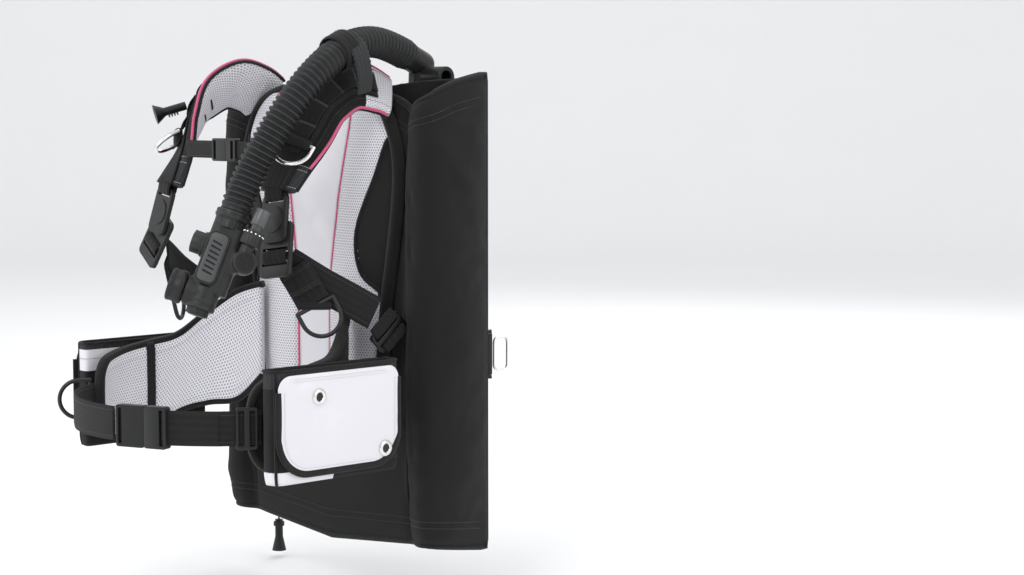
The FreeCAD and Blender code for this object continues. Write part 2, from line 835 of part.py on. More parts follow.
def make_shoulder_rings():
    stand = webbing_lift() + size("webbing_thickness") / 2 + size("ring_wire") + 0.8
    for side in (1, -1):
        ring = d_ring(ring_half(), "8")
        place = shoulder_frame(4, side, stand + 1.5)
        ring.Placement = place * Placement(Vector(0, 18, 0),
                                           Rotation(Vector(1, 0, 0), ring_tilts[side]))
        keep(ring, side_name("shoulder_ring", side))


ring_tilts = {1: 10.0, -1: 38.0}


# ---------------------------------------------------------------- swivel buckles and lower straps

swivel_along = Vector(0.16, -0.20, -0.967)
pivot_drop = 44.0
ladder_length = 62.0
ladder_turns = {1: 0.0, -1: -20.0}


def swivel_frame(side):
    stations = shoulder_stations()
    end = stations[-1][0]
    across = stations[-1][1]
    along = unit(swivel_along)
    across = unit(across - along * across.dot(along))
    outward = along.cross(across)
    return frame(mirrored(end + along * 2.5, side), mirrored(along, side), mirrored(outward, side))


def make_swivels():
    clearance = "Dim.swivel_clearance"
    for side in (1, -1):
        place = swivel_frame(side)
        upper = plate("Dim.webbing_width", str(pivot_drop + 12), "Dim.swivel_thickness",
                      middle=str((pivot_drop + 12) / 2), corner="9",
                      slots=(("0", "8", "Dim.webbing_width - 10", "5"),))
        boss = cylinder("Dim.swivel_boss_radius", "Dim.swivel_thickness + 1.2",
                        (0, pivot_drop, -size("swivel_thickness") - 1.0))
        head = cylinder("Dim.swivel_boss_radius + 3", "2",
                        (0, pivot_drop, -size("swivel_thickness") - 2.8))
        disc = cylinder("15", "1.6", (0, pivot_drop - 14, size("swivel_thickness") - 0.2))
        top = fuse(upper, boss, head, disc)
        top.Placement = place
        keep(top, side_name("swivel_plate", side))
        rim = "Dim.webbing_width + 1"
        ladder = plate("Dim.webbing_width + 2 * Dim.buckle_rim", str(ladder_length),
                       "Dim.swivel_thickness", middle=str(ladder_length / 2 - 12), corner="6",
                       slots=(("0", "20", rim, "6"), ("0", "34", rim, "6")),
                       holes=(("0", "0", "Dim.swivel_boss_radius + " + clearance),))
        below = Placement(Vector(0, pivot_drop, -size("swivel_thickness") - 0.4),
                          Rotation(Vector(0, 0, 1), ladder_turns[side]))
        ladder.Placement = place * below
        keep(ladder, side_name("swivel_ladder", side))


def lower_strap_points():
    """From behind the swivel's ladder back to the adjuster beside the back pad's foot."""
    adjuster = side_ladder_centre()
    place = swivel_frame(1)
    start = place.multVec(Vector(0, pivot_drop + 30, -size("swivel_thickness") - 13))
    end = adjuster + Vector(2, -14, 14)
    return [start, start + (end - start) * 0.33 + Vector(7, 0, -4),
            start + (end - start) * 0.68 + Vector(8, 0, -3), end]


def side_ladder_centre():
    return Vector(size("pad_half_width") + 2, pad_front - 20, pad_top - 271)


tail_across = Vector(0.66, 0.75, 0)


def tail_points():
    start = lower_strap_points()[0]
    return [start + Vector(4, 6, -6), start + Vector(12, 15, -26), start + Vector(18, 24, -46)]


def make_lower_straps():
    for side in (1, -1):
        points = lower_strap_points()
        acrosses = [Vector(0.66, 0.75, 0), Vector(0.45, 0.75, 0.48), Vector(0.2, 0.72, 0.66),
                    Vector(0.1, 0.72, 0.69)]
        widths = [size("webbing_width")] * 4
        strap = strip(points, acrosses, widths, size("webbing_thickness"))
        tail_acrosses = [tail_across] * 3
        tail = strip(tail_points(), tail_acrosses, widths[:3], size("webbing_thickness"))
        whole = strap.fuse(tail).removeSplitter()
        keep(solid_feature(mirror_solid(whole, side)), side_name("lower_strap", side))
        make_side_ladder(side)
        make_lower_ring(side)


def make_side_ladder(side):
    centre = mirrored(side_ladder_centre(), side)
    along = mirrored(unit(Vector(0, 0.70, -0.72)), side)
    outward = mirrored(unit(Vector(0.98, -0.15, 0)), side)
    ladder = plate("Dim.webbing_width + 2 * Dim.buckle_rim", "26", "6", corner="4",
                   slots=(("0", "-5.5", "Dim.webbing_width + 1", "5"),
                          ("0", "5.5", "Dim.webbing_width + 1", "5")))
    ladder.Placement = frame(centre, along, outward) * Placement(Vector(0, 12, -3), Rotation())
    keep(ladder, side_name("side_ladder", side))


def lower_ring_frame(side):
    points = tail_points()
    along = unit(points[-1] - points[-2])
    outward = along.cross(tail_across)
    origin = points[-1] + along * (size("ring_wire") + 1.0)
    return frame(mirrored(origin, side), mirrored(along, side), mirrored(outward, side))


def make_lower_ring(side):
    ring = d_ring(ring_half(), "14")
    ring.Placement = lower_ring_frame(side)
    keep(ring, side_name("lower_ring", side))


# ---------------------------------------------------------------- chest strap

def chest_line():
    """Height and depth of the chest strap, from the straps' front edges."""
    station = shoulder_stations()[5]
    across = unit(station[1])
    edge = station[0] - across * (station[2] * size("shoulder_width") / 2)
    return edge


chest_buckle_x = 7.0
chest_length = 26.0
chest_travel = 16.0


def make_chest_strap():
    edge = chest_line()
    y = edge.y - 6
    z = edge.z + 4
    thickness = 2.0
    half = size("chest_width") / 2
    half_thickness = 4.0
    place = frame(Vector(chest_buckle_x, y, z), Vector(1, 0, 0), Vector(0, -1, 0))
    socket, clip = side_release_buckle("chest_width", chest_length, 2 * half_thickness, "3")
    lower = Placement(Vector(0, 0, -half_thickness), Rotation())
    for item, label in ((socket, "chest_buckle_socket"), (clip, "chest_buckle_clip")):
        item.Placement = place * lower
        keep(item, label)
    spans = (("chest_strap_right", -edge.x + 1, chest_buckle_x - chest_length - 0.5),
             ("chest_strap_left", chest_buckle_x + chest_length - 8 + chest_travel + 1, edge.x - 1))
    for label, start, end in spans:
        plan = [Vector(start, y, 0), Vector(end, y, 0)]
        shape = wall(plan, [z - half] * 2, [z + half] * 2, thickness)
        keep(solid_feature(shape), label)


# ---------------------------------------------------------------- inflator, hose and valves

def hose_route():
    """Centre line of the corrugated hose, from the elbow over the left shoulder."""
    strap_x = size("pad_half_width") - 38
    root = pad_front + 16
    return [Vector(strap_x + x, root + y, pad_top + z) for x, y, z in (
        (-3, 43.2, 32), (4, 5.2, 46), (15, -38.8, 50), (24, -81.8, 39), (27, -119.8, 14),
        (23, -150.8, -20), (12, -173.8, -60), (0, -192.8, -99.5), (-2.5, -209.8, -139))]


def make_hose():
    keep(solid_feature(tube_along(hose_route(), size("hose_radius"))), "corrugated_hose")


def make_elbow():
    x = size("pad_half_width") - 42
    y = core_back + 15.8 + rear_panel_thickness / 2
    low = wing_top - 36
    base = cylinder("22", "4", (x, y, low), (0, 1, 0))
    neck = cylinder("14", "24", (x, y + 3, low), (0, 1, 0))
    centre = Vector(x, y + 27, low)
    knee = document.addObject("Part::Sphere", "Knee")
    knee.Radius = 14.5
    knee.Placement.Base = centre
    start = hose_route()[0]
    direction = unit(hose_route()[1] - start)
    shoulder = start - direction * 22
    rise = cylinder("14.5", str(round((shoulder - centre).Length, 2)), tuple(centre),
                    tuple(unit(shoulder - centre)))
    bend = document.addObject("Part::Sphere", "Bend")
    bend.Radius = 15.5
    bend.Placement.Base = shoulder
    spigot = cylinder("15.5", "22", tuple(shoulder), tuple(direction))
    keep(fuse(base, neck, knee, rise, bend, spigot), "hose_elbow")
    valve_start = centre + Vector(15.2, -1, 29)
    body = cylinder("12.5", "32", tuple(valve_start), (1, 0, 0))
    mouth = cylinder("8", "20", tuple(valve_start + Vector(18, 0, 0)), (1, 0, 0))
    keep(cut(body, mouth), "elbow_valve")


def make_keeper():
    route = hose_route()
    along = unit(route[4] - route[2])
    centre = bend_points(route, 3, size("hose_radius"))[1]
    outer = cylinder("Dim.hose_radius + 4", "24", tuple(centre - along * 12), tuple(along))
    inner = cylinder("Dim.hose_radius + 1.6", "30", tuple(centre - along * 15), tuple(along))
    keep(cut(outer, inner), "hose_keeper")


def inflator_frame():
    """Local Z up the body towards the hose, X towards the mouthpiece."""
    top = hose_route()[-1]
    up = unit(hose_route()[-2] - top)
    mouth = unit(Vector(-0.62, -0.78, 0))
    mouth = unit(mouth - up * mouth.dot(up))
    side = up.cross(mouth)
    origin = top - up * (size("inflator_length") + 0.2)
    return Placement(origin, Rotation(mouth, side, up, "ZXY"))


def make_inflator():
    place = inflator_frame()
    length = size("inflator_length")
    flange = cylinder("Dim.hose_radius + 0.8", "9", (0, 0, length - 9))
    collar = cylinder("Dim.hose_radius - 1.2", "12", (0, 0, length - 20))
    grip = plate("40", "28", "74", corner="10")
    grip.Placement = Placement(Vector(-3, 0, length - 92), Rotation())
    tail = cylinder("16.5", "24", (0, 0, 6))
    mouth_stub = cylinder("Dim.mouth_radius - 2", "20", (0, 0, mouth_height), (1, 0, 0))
    neck = cylinder("13", "24", (-15, -10, length - 54), (0, 1, 0))
    grille_housing = cylinder("12.5", "24", (-29, 2, length - 50), (-0.12, 1, 0))
    inlet = cylinder("8", str(inlet_length), tuple(inlet_base(length)), tuple(connector_axis))
    button_seat = cylinder("Dim.button_radius + 1.5", "17", (4, 0, length - button_drop), (1, 0, 0))
    solid = fuse(flange, collar, grip, tail, mouth_stub, neck, grille_housing, inlet, button_seat)
    hollows = [
        cylinder("Dim.button_radius - 4", "12", (9.5, 0, length - button_drop), (1, 0, 0)),
        cylinder("Dim.button_radius + Dim.moving_gap", "8", (14, 0, length - button_drop),
                 (1, 0, 0)),
        cylinder("Dim.button_radius + Dim.moving_gap", "10", (0, 0, 4)),
        cylinder("Dim.button_radius - 4", "12", (0, 0, 9)),
        cylinder("Dim.mouth_bore", "22", (8, 0, mouth_height), (1, 0, 0)),
    ]
    body = cut(solid, *hollows)
    body.Placement = place
    keep(body, "inflator_body")
    grip_slots = []
    for index in range(6):
        grip_slots.append(("0", str(-20 + 8 * index), "14", "2.4"))
    insert = plate("20", "56", "2.2", corner="7", slots=grip_slots)
    insert.Placement = place * Placement(Vector(3.5, 14.3, length - 56),
                                         Rotation(Vector(1, 0, 0), Vector(0, 0, 1),
                                                  Vector(0, 1, 0), "ZYX"))
    keep(insert, "inflator_grip")
    make_buttons(place, length)
    make_mouthpiece(place)
    make_connector(place, length)


def make_buttons(place, length):
    cap = cylinder("Dim.button_radius", "14", (17.5, 0, length - button_drop), (1, 0, 0))
    stem = cylinder("4", "7", (12.8, 0, length - button_drop), (1, 0, 0))
    inflate = fuse(cap, stem)
    inflate.Placement = place
    keep(inflate, "inflate_button")
    press = cylinder("Dim.button_radius", "11", (0, 0, -1))
    rod = cylinder("4", "6", (0, 0, 9.5))
    deflate = fuse(press, rod)
    deflate.Placement = place
    keep(deflate, "deflate_button")
    springs = []
    for base, axis in (((9.7, 0, length - button_drop), (1, 0, 0)), ((0, 0, 14), (0, 0, 1))):
        coil = cylinder("Dim.button_radius - 5", "4", base, axis)
        hole = cylinder("5", "8", tuple(Vector(base) - Vector(axis) * 2), axis)
        springs.append(cut(coil, hole))
    group = document.addObject("Part::Compound", "Springs")
    group.Links = springs
    group.Placement = place
    keep(group, "button_springs")


def make_mouthpiece(place):
    outer = cylinder("Dim.mouth_radius", "17", (20.3, 0, mouth_height), (1, 0, 0))
    bore = cylinder("Dim.mouth_bore", "24", (18, 0, mouth_height), (1, 0, 0))
    mouth = cut(outer, bore)
    mouth.Placement = place
    keep(mouth, "mouthpiece")


connector_axis = Vector(-0.07, 0.0, 0.9975)
inlet_length = 16.0
mouth_height = 22.0
button_drop = 44.0


def inlet_base(length):
    return Vector(-27.5, 19.5, length - 48)


def make_connector(place, length):
    axis = unit(connector_axis)
    start = inlet_base(length) + axis * (inlet_length + 0.2)
    nipple = cylinder("6", "24", tuple(start), tuple(axis))
    cap = cylinder("8.5", "18", tuple(start + axis * 24), tuple(axis))
    connector = fuse(nipple, cap)
    connector.Placement = place
    keep(connector, "hose_connector")
    ring = cylinder("11", "16", tuple(start + axis * 0.6), tuple(axis))
    bore = cylinder("6.35", "20", tuple(start - axis * 1), tuple(axis))
    collar = cut(ring, bore)
    collar.Placement = place
    keep(collar, "connector_collar")


# ---------------------------------------------------------------- pull knobs

def pull_place():
    """Bottom of the lower dump valve, where its cord comes out."""
    x = -(size("wing_half_width") - size("wing_thickness") / 2 - 10.5)
    return Vector(x, core_front + 56, size("wing_bottom") + 26)


def make_lower_pull():
    exit_point = pull_place()
    radius = 14.0
    body = cylinder(str(radius - 6), "30", (exit_point.x, exit_point.y, exit_point.z), (0, 0, 1))
    hole = cylinder("Dim.cord_radius + Dim.moving_gap", "40",
                    (exit_point.x, exit_point.y, exit_point.z - 5), (0, 0, 1))
    keep(cut(body, hole), "lower_dump_valve")
    knob_top = exit_point.z - 44
    shank = cylinder("Dim.knob_radius - 4", "Dim.knob_length",
                     (exit_point.x, exit_point.y, knob_top - size("knob_length")), (0, 0, 1))
    shoulder = cylinder("Dim.knob_radius - 2", "5", (exit_point.x, exit_point.y, knob_top - 8),
                        (0, 0, 1))
    foot = document.addObject("Part::Cone", "Foot")
    bind(foot, Radius1="Dim.knob_radius", Radius2="Dim.knob_radius - 4")
    foot.Height = 18
    foot.Placement.Base = Vector(exit_point.x, exit_point.y, knob_top - size("knob_length"))
    keep(fuse(shank, shoulder, foot), "lower_pull_knob")
    cord = document.addObject("Part::Cylinder", "Cord")
    bind(cord, Radius="Dim.cord_radius", Height="44 + Dim.pull_travel + 5")
    cord.Placement.Base = Vector(exit_point.x, exit_point.y, knob_top)
    keep(cord, "pull_cord")


def shoulder_pull_frame():
    """On the right strap's outer face, with the knob's foot down and outwards."""
    place = shoulder_frame(3, -1, webbing_lift() + size("knob_radius") + 1)
    along = place.Rotation.multVec(Vector(0, 1, 0))
    outward = place.Rotation.multVec(Vector(0, 0, 1))
    start = place.multVec(Vector(0, 20, 0))
    return frame(start, unit(along + outward * 0.75), outward)


def make_shoulder_pull():
    place = shoulder_pull_frame()
    shank = cylinder("Dim.knob_radius - 4", "Dim.knob_length - 4", (0, 0, 0), (0, 1, 0))
    foot = document.addObject("Part::Cone", "Foot")
    bind(foot, Radius1="Dim.knob_radius - 4", Radius2="Dim.knob_radius + 3")
    foot.Height = 12
    foot.Placement = Placement(Vector(0, size("knob_length") - 14, 0),
                               Rotation(Vector(0, 0, 1), Vector(0, 1, 0)))
    knob = fuse(shank, foot)
    knob.Placement = place
    keep(knob, "shoulder_pull_knob")


def make_waist_ring():
    ring = d_ring(ring_half(), "14")
    ring.Placement = waist_ring_frame()
    keep(ring, "waist_ring")


make_back_pad()
make_backplate()
make_bolts()
make_carry_handle()
make_tank_band()
make_cam_buckle()
make_wing()
make_waistbands()
make_belt()
make_belt_slider()
make_waist_ring()
make_pockets()
make_shoulders()
make_shoulder_rings()
make_swivels()
make_lower_straps()
make_chest_strap()
make_hose()
make_elbow()
make_keeper()
make_inflator()
make_lower_pull()
make_shoulder_pull()

document.recompute()
for item in document.Objects:
    if "Invalid" in item.State or "Error" in item.State:
        raise ValueError("failed: " + item.Label)
os.makedirs("parts", exist_ok=True)
for item in parts:
    shape = item.Shape
    if shape.isNull() or not shape.isValid():
        raise ValueError("bad shape: " + item.Label)
    shape.exportStep(os.path.join("parts", item.Label + ".step"))
print(len(parts), "sub-parts")
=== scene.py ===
import json
import math
import random

import bpy
from mathutils import Matrix, Vector, noise


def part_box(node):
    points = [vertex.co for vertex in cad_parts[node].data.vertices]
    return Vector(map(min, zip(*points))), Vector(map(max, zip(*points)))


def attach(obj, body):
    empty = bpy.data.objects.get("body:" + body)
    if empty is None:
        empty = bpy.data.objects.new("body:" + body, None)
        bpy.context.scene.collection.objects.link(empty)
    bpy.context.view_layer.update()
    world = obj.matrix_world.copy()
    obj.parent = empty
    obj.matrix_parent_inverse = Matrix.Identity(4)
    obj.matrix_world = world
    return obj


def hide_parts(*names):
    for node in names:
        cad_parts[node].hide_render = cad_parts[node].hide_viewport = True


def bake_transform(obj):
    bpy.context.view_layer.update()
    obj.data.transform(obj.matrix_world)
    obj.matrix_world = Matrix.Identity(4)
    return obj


# Buoyancy compensator vest. Positions below are in millimetres, in the frame of the packed
# model: +X to the wearer's left, +Y towards the tank, +Z up. mm() turns them into metres.

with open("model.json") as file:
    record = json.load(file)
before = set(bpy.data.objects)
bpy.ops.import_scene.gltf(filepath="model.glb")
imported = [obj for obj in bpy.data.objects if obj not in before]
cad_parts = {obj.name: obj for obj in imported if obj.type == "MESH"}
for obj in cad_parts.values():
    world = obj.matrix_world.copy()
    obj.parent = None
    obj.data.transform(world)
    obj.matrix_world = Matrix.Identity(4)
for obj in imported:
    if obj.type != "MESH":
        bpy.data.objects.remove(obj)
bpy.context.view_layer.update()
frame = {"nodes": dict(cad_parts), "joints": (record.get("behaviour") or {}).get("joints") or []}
nodes = frame["nodes"]
joints = {joint["name"]: joint for joint in frame["joints"]}
random.seed(7)


def mm(*values):
    point = Vector(values[0]) if len(values) == 1 else Vector(values)
    return point / 1000


# ---------------------------------------------------------------- materials

class Tree:
    """Short names for the nodes that the materials below are made of."""

    def __init__(self, name):
        self.material = bpy.data.materials.new(name)
        self.material.use_nodes = True
        self.nodes = self.material.node_tree.nodes
        self.links = self.material.node_tree.links
        self.shader = self.nodes["Principled BSDF"]

    def node(self, kind, **inputs):
        made = self.nodes.new(kind)
        for name, value in inputs.items():
            self.feed(made.inputs[name.replace("_", " ")], value)
        return made

    def feed(self, socket, value):
        if isinstance(value, bpy.types.NodeSocket):
            self.links.new(value, socket)
        else:
            socket.default_value = value

    def math(self, operation, *values):
        made = self.nodes.new("ShaderNodeMath")
        made.operation = operation
        for socket, value in zip(made.inputs, values):
            self.feed(socket, value)
        return made.outputs[0]

    def place(self, kind="UV"):
        return self.node("ShaderNodeTexCoord").outputs[kind]

    def split(self, vector):
        made = self.node("ShaderNodeSeparateXYZ", Vector=vector)
        return made.outputs[0], made.outputs[1], made.outputs[2]

    def noise(self, scale, detail=3.0, vector=None):
        made = self.node("ShaderNodeTexNoise", Scale=scale, Detail=detail)
        self.feed(made.inputs["Vector"], vector or self.place("Object"))
        return made.outputs[0]

    def spread(self, value, low, high, start=0.0, end=1.0):
        made = self.node("ShaderNodeMapRange", Value=value)
        for socket, number in zip(made.inputs[1:5], (low, high, start, end)):
            socket.default_value = number
        return made.outputs[0]

    def blend(self, share, first, second):
        made = self.nodes.new("ShaderNodeMix")
        made.data_type = "RGBA"
        self.feed(made.inputs[0], share)
        for socket, value in ((made.inputs[6], first), (made.inputs[7], second)):
            self.feed(socket, value if isinstance(value, bpy.types.NodeSocket) else (*value, 1))
        return made.outputs[2]

    def bump(self, height, distance, strength=1.0, under=None):
        made = self.node("ShaderNodeBump", Height=height, Strength=strength, Distance=distance)
        if under:
            self.links.new(under, made.inputs["Normal"])
        return made.outputs[0]

    def finish(self, color, roughness, normal=None, **plain):
        self.feed(self.shader.inputs["Base Color"], color)
        self.feed(self.shader.inputs["Roughness"], roughness)
        if normal:
            self.links.new(normal, self.shader.inputs["Normal"])
        for name, value in plain.items():
            self.shader.inputs[name.replace("_", " ")].default_value = value
        return self.material

    def edges(self, low=0.52, high=0.60):
        """1 on convex edges, where handling wears a moulding."""
        pointed = self.node("ShaderNodeNewGeometry").outputs["Pointiness"]
        return self.spread(pointed, low, high)


def woven(name, color, pitch, depth=0.00012, sheen=0.25, roughness=0.85, shade=0.55):
    """Plain cloth: threads over and under each other along the piece's own UV, in metres. Where the weave dips,
    the colour is multiplied by shade: painted shade that follows the bump.
    """
    tree = Tree(name)
    u, v, _ = tree.split(tree.place())
    across = tree.math("SINE", tree.math("MULTIPLY", u, 2 * math.pi / pitch))
    along = tree.math("SINE", tree.math("MULTIPLY", v, 2 * math.pi / pitch))
    weave = tree.math("MULTIPLY", across, along)
    cloud = tree.noise(9.0, 4.0)
    fuzz = tree.noise(900.0, 2.0)
    share = tree.spread(weave, -1, 1)
    # painted shade: the weave's low points take a darker copy of the colour
    valley_shade = tuple(channel * shade for channel in color)
    tone = tree.blend(share, valley_shade, color)
    worn = tuple(min(1, channel * 1.5 + 0.004) for channel in color)
    tone = tree.blend(tree.spread(cloud, 0.55, 0.78, 0, 0.35), tone, worn)
    normal = tree.bump(tree.math("ADD", weave, fuzz), depth)
    rough = tree.spread(cloud, 0.3, 0.7, roughness - 0.08, roughness + 0.06)
    return tree.finish(tone, rough, normal, Sheen_Weight=sheen, Sheen_Roughness=0.5,
                       Specular_IOR_Level=0.25)


def air_mesh(name, color, hole_shade, pitch=0.0036):
    """Spacer mesh: rows of oval holes, every other row shifted by half a pitch; the holes are filled with a
    darker colour as painted shade.
    """
    tree = Tree(name)
    u, v, _ = tree.split(tree.place())
    row = tree.math("DIVIDE", v, pitch * 0.87)
    odd = tree.math("MODULO", tree.math("FLOOR", row), 2.0)
    column = tree.math("ADD", tree.math("DIVIDE", u, pitch), tree.math("MULTIPLY", odd, 0.5))
    x = tree.math("SUBTRACT", tree.math("FRACT", column), 0.5)
    y = tree.math("SUBTRACT", tree.math("FRACT", row), 0.5)
    x2 = tree.math("MULTIPLY", x, x)
    y2 = tree.math("MULTIPLY", tree.math("MULTIPLY", y, y), 0.62)
    far = tree.math("SQRT", tree.math("ADD", x2, y2))
    solid = tree.spread(far, 0.17, 0.34)
    knit = tree.noise(1400.0, 2.0)
    cloud = tree.noise(7.0, 3.0)
    # painted shade: the holes take the darker colour passed in for them
    tone = tree.blend(solid, hole_shade, color)
    tone = tree.blend(tree.spread(cloud, 0.45, 0.75, 0, 0.16), tone,
                      tuple(channel * 0.82 for channel in color))
    height = tree.math("ADD", solid, tree.math("MULTIPLY", knit, 0.25))
    normal = tree.bump(height, 0.0007, 0.8)
    return tree.finish(tone, 0.82, normal, Sheen_Weight=0.2, Sheen_Roughness=0.6,
                       Specular_IOR_Level=0.2)


def webbing(name, color, ribs=0.0016, width_rows=0.004):
    """Heavy woven tape: fine ribs across it, broken into chevrons by its lengthwise yarns, with a painted
    highlight on the rib crests and painted shade in the grooves.
    """
    tree = Tree(name)
    u, v, _ = tree.split(tree.place())
    yarn = tree.math("PINGPONG", tree.math("DIVIDE", u, width_rows), 1.0)
    phase = tree.math("ADD", tree.math("DIVIDE", v, ribs), tree.math("MULTIPLY", yarn, 1.2))
    rib = tree.math("SINE", tree.math("MULTIPLY", phase, 2 * math.pi))
    groove = tree.math("SINE", tree.math("MULTIPLY", tree.math("DIVIDE", u, width_rows), math.pi))
    weave = tree.math("ADD", rib, tree.math("MULTIPLY", groove, 0.5))
    cloud = tree.noise(14.0, 4.0)
    # painted highlight and shade: rib crests take a lighter copy of the colour, grooves a darker one, following
    # the bump
    light = tuple(min(1, channel * 1.55) for channel in color)
    tone = tree.blend(tree.spread(weave, -1.2, 1.4), tuple(c * 0.5 for c in color), light)
    tone = tree.blend(tree.spread(cloud, 0.5, 0.8, 0, 0.4), tone, color)
    normal = tree.bump(weave, 0.00022)
    return tree.finish(tone, 0.78, normal, Sheen_Weight=0.06, Sheen_Roughness=0.4,
                       Specular_IOR_Level=0.25)


def moulded(name, color, roughness=0.42, grain=0.00006, coat=0.0):
    """Moulded plastic or rubber with a fine grain, scuffs, and paler handled edges."""
    tree = Tree(name)
    fine = tree.noise(1500.0, 2.0)
    cloud = tree.noise(22.0, 5.0)
    scuff = tree.noise(160.0, 6.0)
    worn = tuple(min(1, channel * 2.2 + 0.02) for channel in color)
    tone = tree.blend(tree.spread(cloud, 0.35, 0.75, 0, 0.4), color,
                      tuple(channel * 1.35 for channel in color))
    tone = tree.blend(tree.math("MULTIPLY", tree.edges(), 0.45), tone, worn)
    marks = tree.spread(scuff, 0.62, 0.70, 0, 0.5)
    tone = tree.blend(tree.math("MULTIPLY", marks, 0.25), tone, worn)
    rough = tree.spread(cloud, 0.3, 0.7, roughness - 0.06, roughness + 0.1)
    normal = tree.bump(fine, grain)
    return tree.finish(tone, rough, normal, Specular_IOR_Level=0.32, Coat_Weight=coat,
                       Coat_Roughness=0.3)


def metal(name, color, roughness=0.2, metallic=1.0):
    """Drawn wire or pressed metal, with fine scratches and dulled patches."""
    tree = Tree(name)
    scratch = tree.noise(420.0, 8.0)
    cloud = tree.noise(40.0, 4.0)
    tone = tree.blend(tree.spread(cloud, 0.4, 0.75, 0, 0.5), color,
                      tuple(channel * 0.72 for channel in color))
    rough = tree.spread(scratch, 0.35, 0.7, roughness - 0.06, roughness + 0.16)
    normal = tree.bump(scratch, 0.00003)
    return tree.finish(tone, rough, normal, Metallic=metallic)


# the second colour is painted shade in the mesh's holes
WHITE_MESH = air_mesh("white_air_mesh", (0.74, 0.73, 0.775), (0.27, 0.265, 0.29))
# woven cloths darken their weave's dips by their shade factor (0.55 where not given) as painted shade
WHITE_CLOTH = woven("white_cloth", (0.70, 0.69, 0.725), 0.0011, 0.00005, shade=0.93)
BLACK_CLOTH = woven("black_cordura", (0.0080, 0.0080, 0.0078), 0.0012, 0.00016, 0.06)
BINDING = woven("binding_tape", (0.0085, 0.0087, 0.0087), 0.0009, 0.00014, 0.10)
WEBBING = webbing("webbing", (0.0100, 0.0102, 0.0102))
GREY_TAPE = webbing("grey_end_tape", (0.030, 0.031, 0.032), 0.0013, 0.003)
PINK = woven("pink_piping", (0.66, 0.10, 0.22), 0.0008, 0.0001, 0.3, 0.7, 0.8)
THREAD_DARK = woven("dark_thread", (0.05, 0.05, 0.052), 0.0004, 0.0001, 0.3)
THREAD_WHITE = woven("pale_thread", (0.62, 0.61, 0.64), 0.0004, 0.0001, 0.3)
RUBBER = moulded("hose_rubber", (0.0095, 0.0098, 0.0102), 0.44, 0.00008)
PLASTIC = moulded("black_plastic", (0.0075, 0.0077, 0.008), 0.40)
PLASTIC_DARK = moulded("buckle_plastic", (0.0065, 0.0067, 0.007), 0.36)
BODY_PLASTIC = moulded("inflator_plastic", (0.0125, 0.0128, 0.013), 0.42)
GREY_PLASTIC = moulded("grey_plastic", (0.05, 0.051, 0.052), 0.4)
SWIVEL_PLASTIC = moulded("swivel_plastic", (0.0085, 0.0087, 0.009), 0.44)
CAP_PLASTIC = moulded("cap_plastic", (0.05, 0.052, 0.053), 0.3, 0.00003, 0.3)
SILVER = metal("silver", (0.74, 0.74, 0.72), 0.16)
STEEL = metal("steel", (0.42, 0.42, 0.41), 0.3)
BLACK_METAL = metal("black_metal", (0.03, 0.03, 0.03), 0.34, 0.6)


# ---------------------------------------------------------------- mesh helpers

def add_object(name, data, body="vest", slot=None, replaces=()):
    made = bpy.data.objects.new(name, data)
    bpy.context.scene.collection.objects.link(made)
    if body:
        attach(made, body)
    if replaces:
        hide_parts(*replaces)
    return made


def build(name, rings, uvs, materials, paint=None, caps=True, closed=True, **where):
    """Skin through rings of points, all with the same count; paint picks a face's material."""
    count = len(rings[0])
    verts = [point for ring in rings for point in ring]
    faces = []
    corners = []
    indices = []
    steps = count if closed else count - 1
    for i in range(len(rings) - 1):
        for j in range(steps):
            k = (j + 1) % count
            faces.append((i * count + j, i * count + k, (i + 1) * count + k, (i + 1) * count + j))
            over = uvs[i][j + 1] if j + 1 < len(uvs[i]) else uvs[i][j]
            over_next = uvs[i + 1][j + 1] if j + 1 < len(uvs[i + 1]) else uvs[i + 1][j]
            corners.extend((uvs[i][j], over, over_next, uvs[i + 1][j]))
            indices.append(paint(i, j) if paint else 0)
    if caps and closed:
        for ring, start in ((0, 0), (len(rings) - 1, (len(rings) - 1) * count)):
            order = range(count - 1, -1, -1) if ring == 0 else range(count)
            faces.append(tuple(start + j for j in order))
            corners.extend(uvs[ring][j] for j in order)
            indices.append(paint(min(ring, len(rings) - 2), 0) if paint else 0)
    data = bpy.data.meshes.new(name)
    data.from_pydata([tuple(v) for v in verts], [], faces)
    layer = data.uv_layers.new(name="UVMap")
    for loop, uv in enumerate(corners):
        layer.data[loop].uv = uv
    for material in materials:
        data.materials.append(material)
    data.polygons.foreach_set("material_index", indices)
    data.polygons.foreach_set("use_smooth", [True] * len(faces))
    data.update()
    return add_object(name, data, **where)


def ring_uvs(rings):
    """UV in metres: round each ring, and along the line of ring middles."""
    rows = []
    travel = 0.0
    last = None
    for ring in rings:
        middle = sum(ring, Vector()) / len(ring)
        if last is not None:
            travel += (middle - last).length
        last = middle
        row = [(0.0, travel)]
        for one, two in zip(ring, ring[1:] + ring[:1]):
            row.append((row[-1][0] + (two - one).length, travel))
        rows.append(row)
    return rows


def catmull(points, steps):
    """Smooth line through the points, with the given number of steps between two of them."""
    result = []
    last = len(points) - 1
    for i in range(last):
        a, b, c, d = (points[max(i - 1, 0)], points[i], points[i + 1], points[min(i + 2, last)])
        for step in range(steps):
            t = step / steps
            result.append(0.5 * ((2 * b) + (c - a) * t + (2 * a - 5 * b + 4 * c - d) * t * t
                                 + (3 * b - a - 3 * c + d) * t ** 3))
    result.append(points[-1])
    return result


def tangents(points):
    last = len(points) - 1
    return [(points[min(i + 1, last)] - points[max(i - 1, 0)]).normalized()
            for i in range(len(points))]


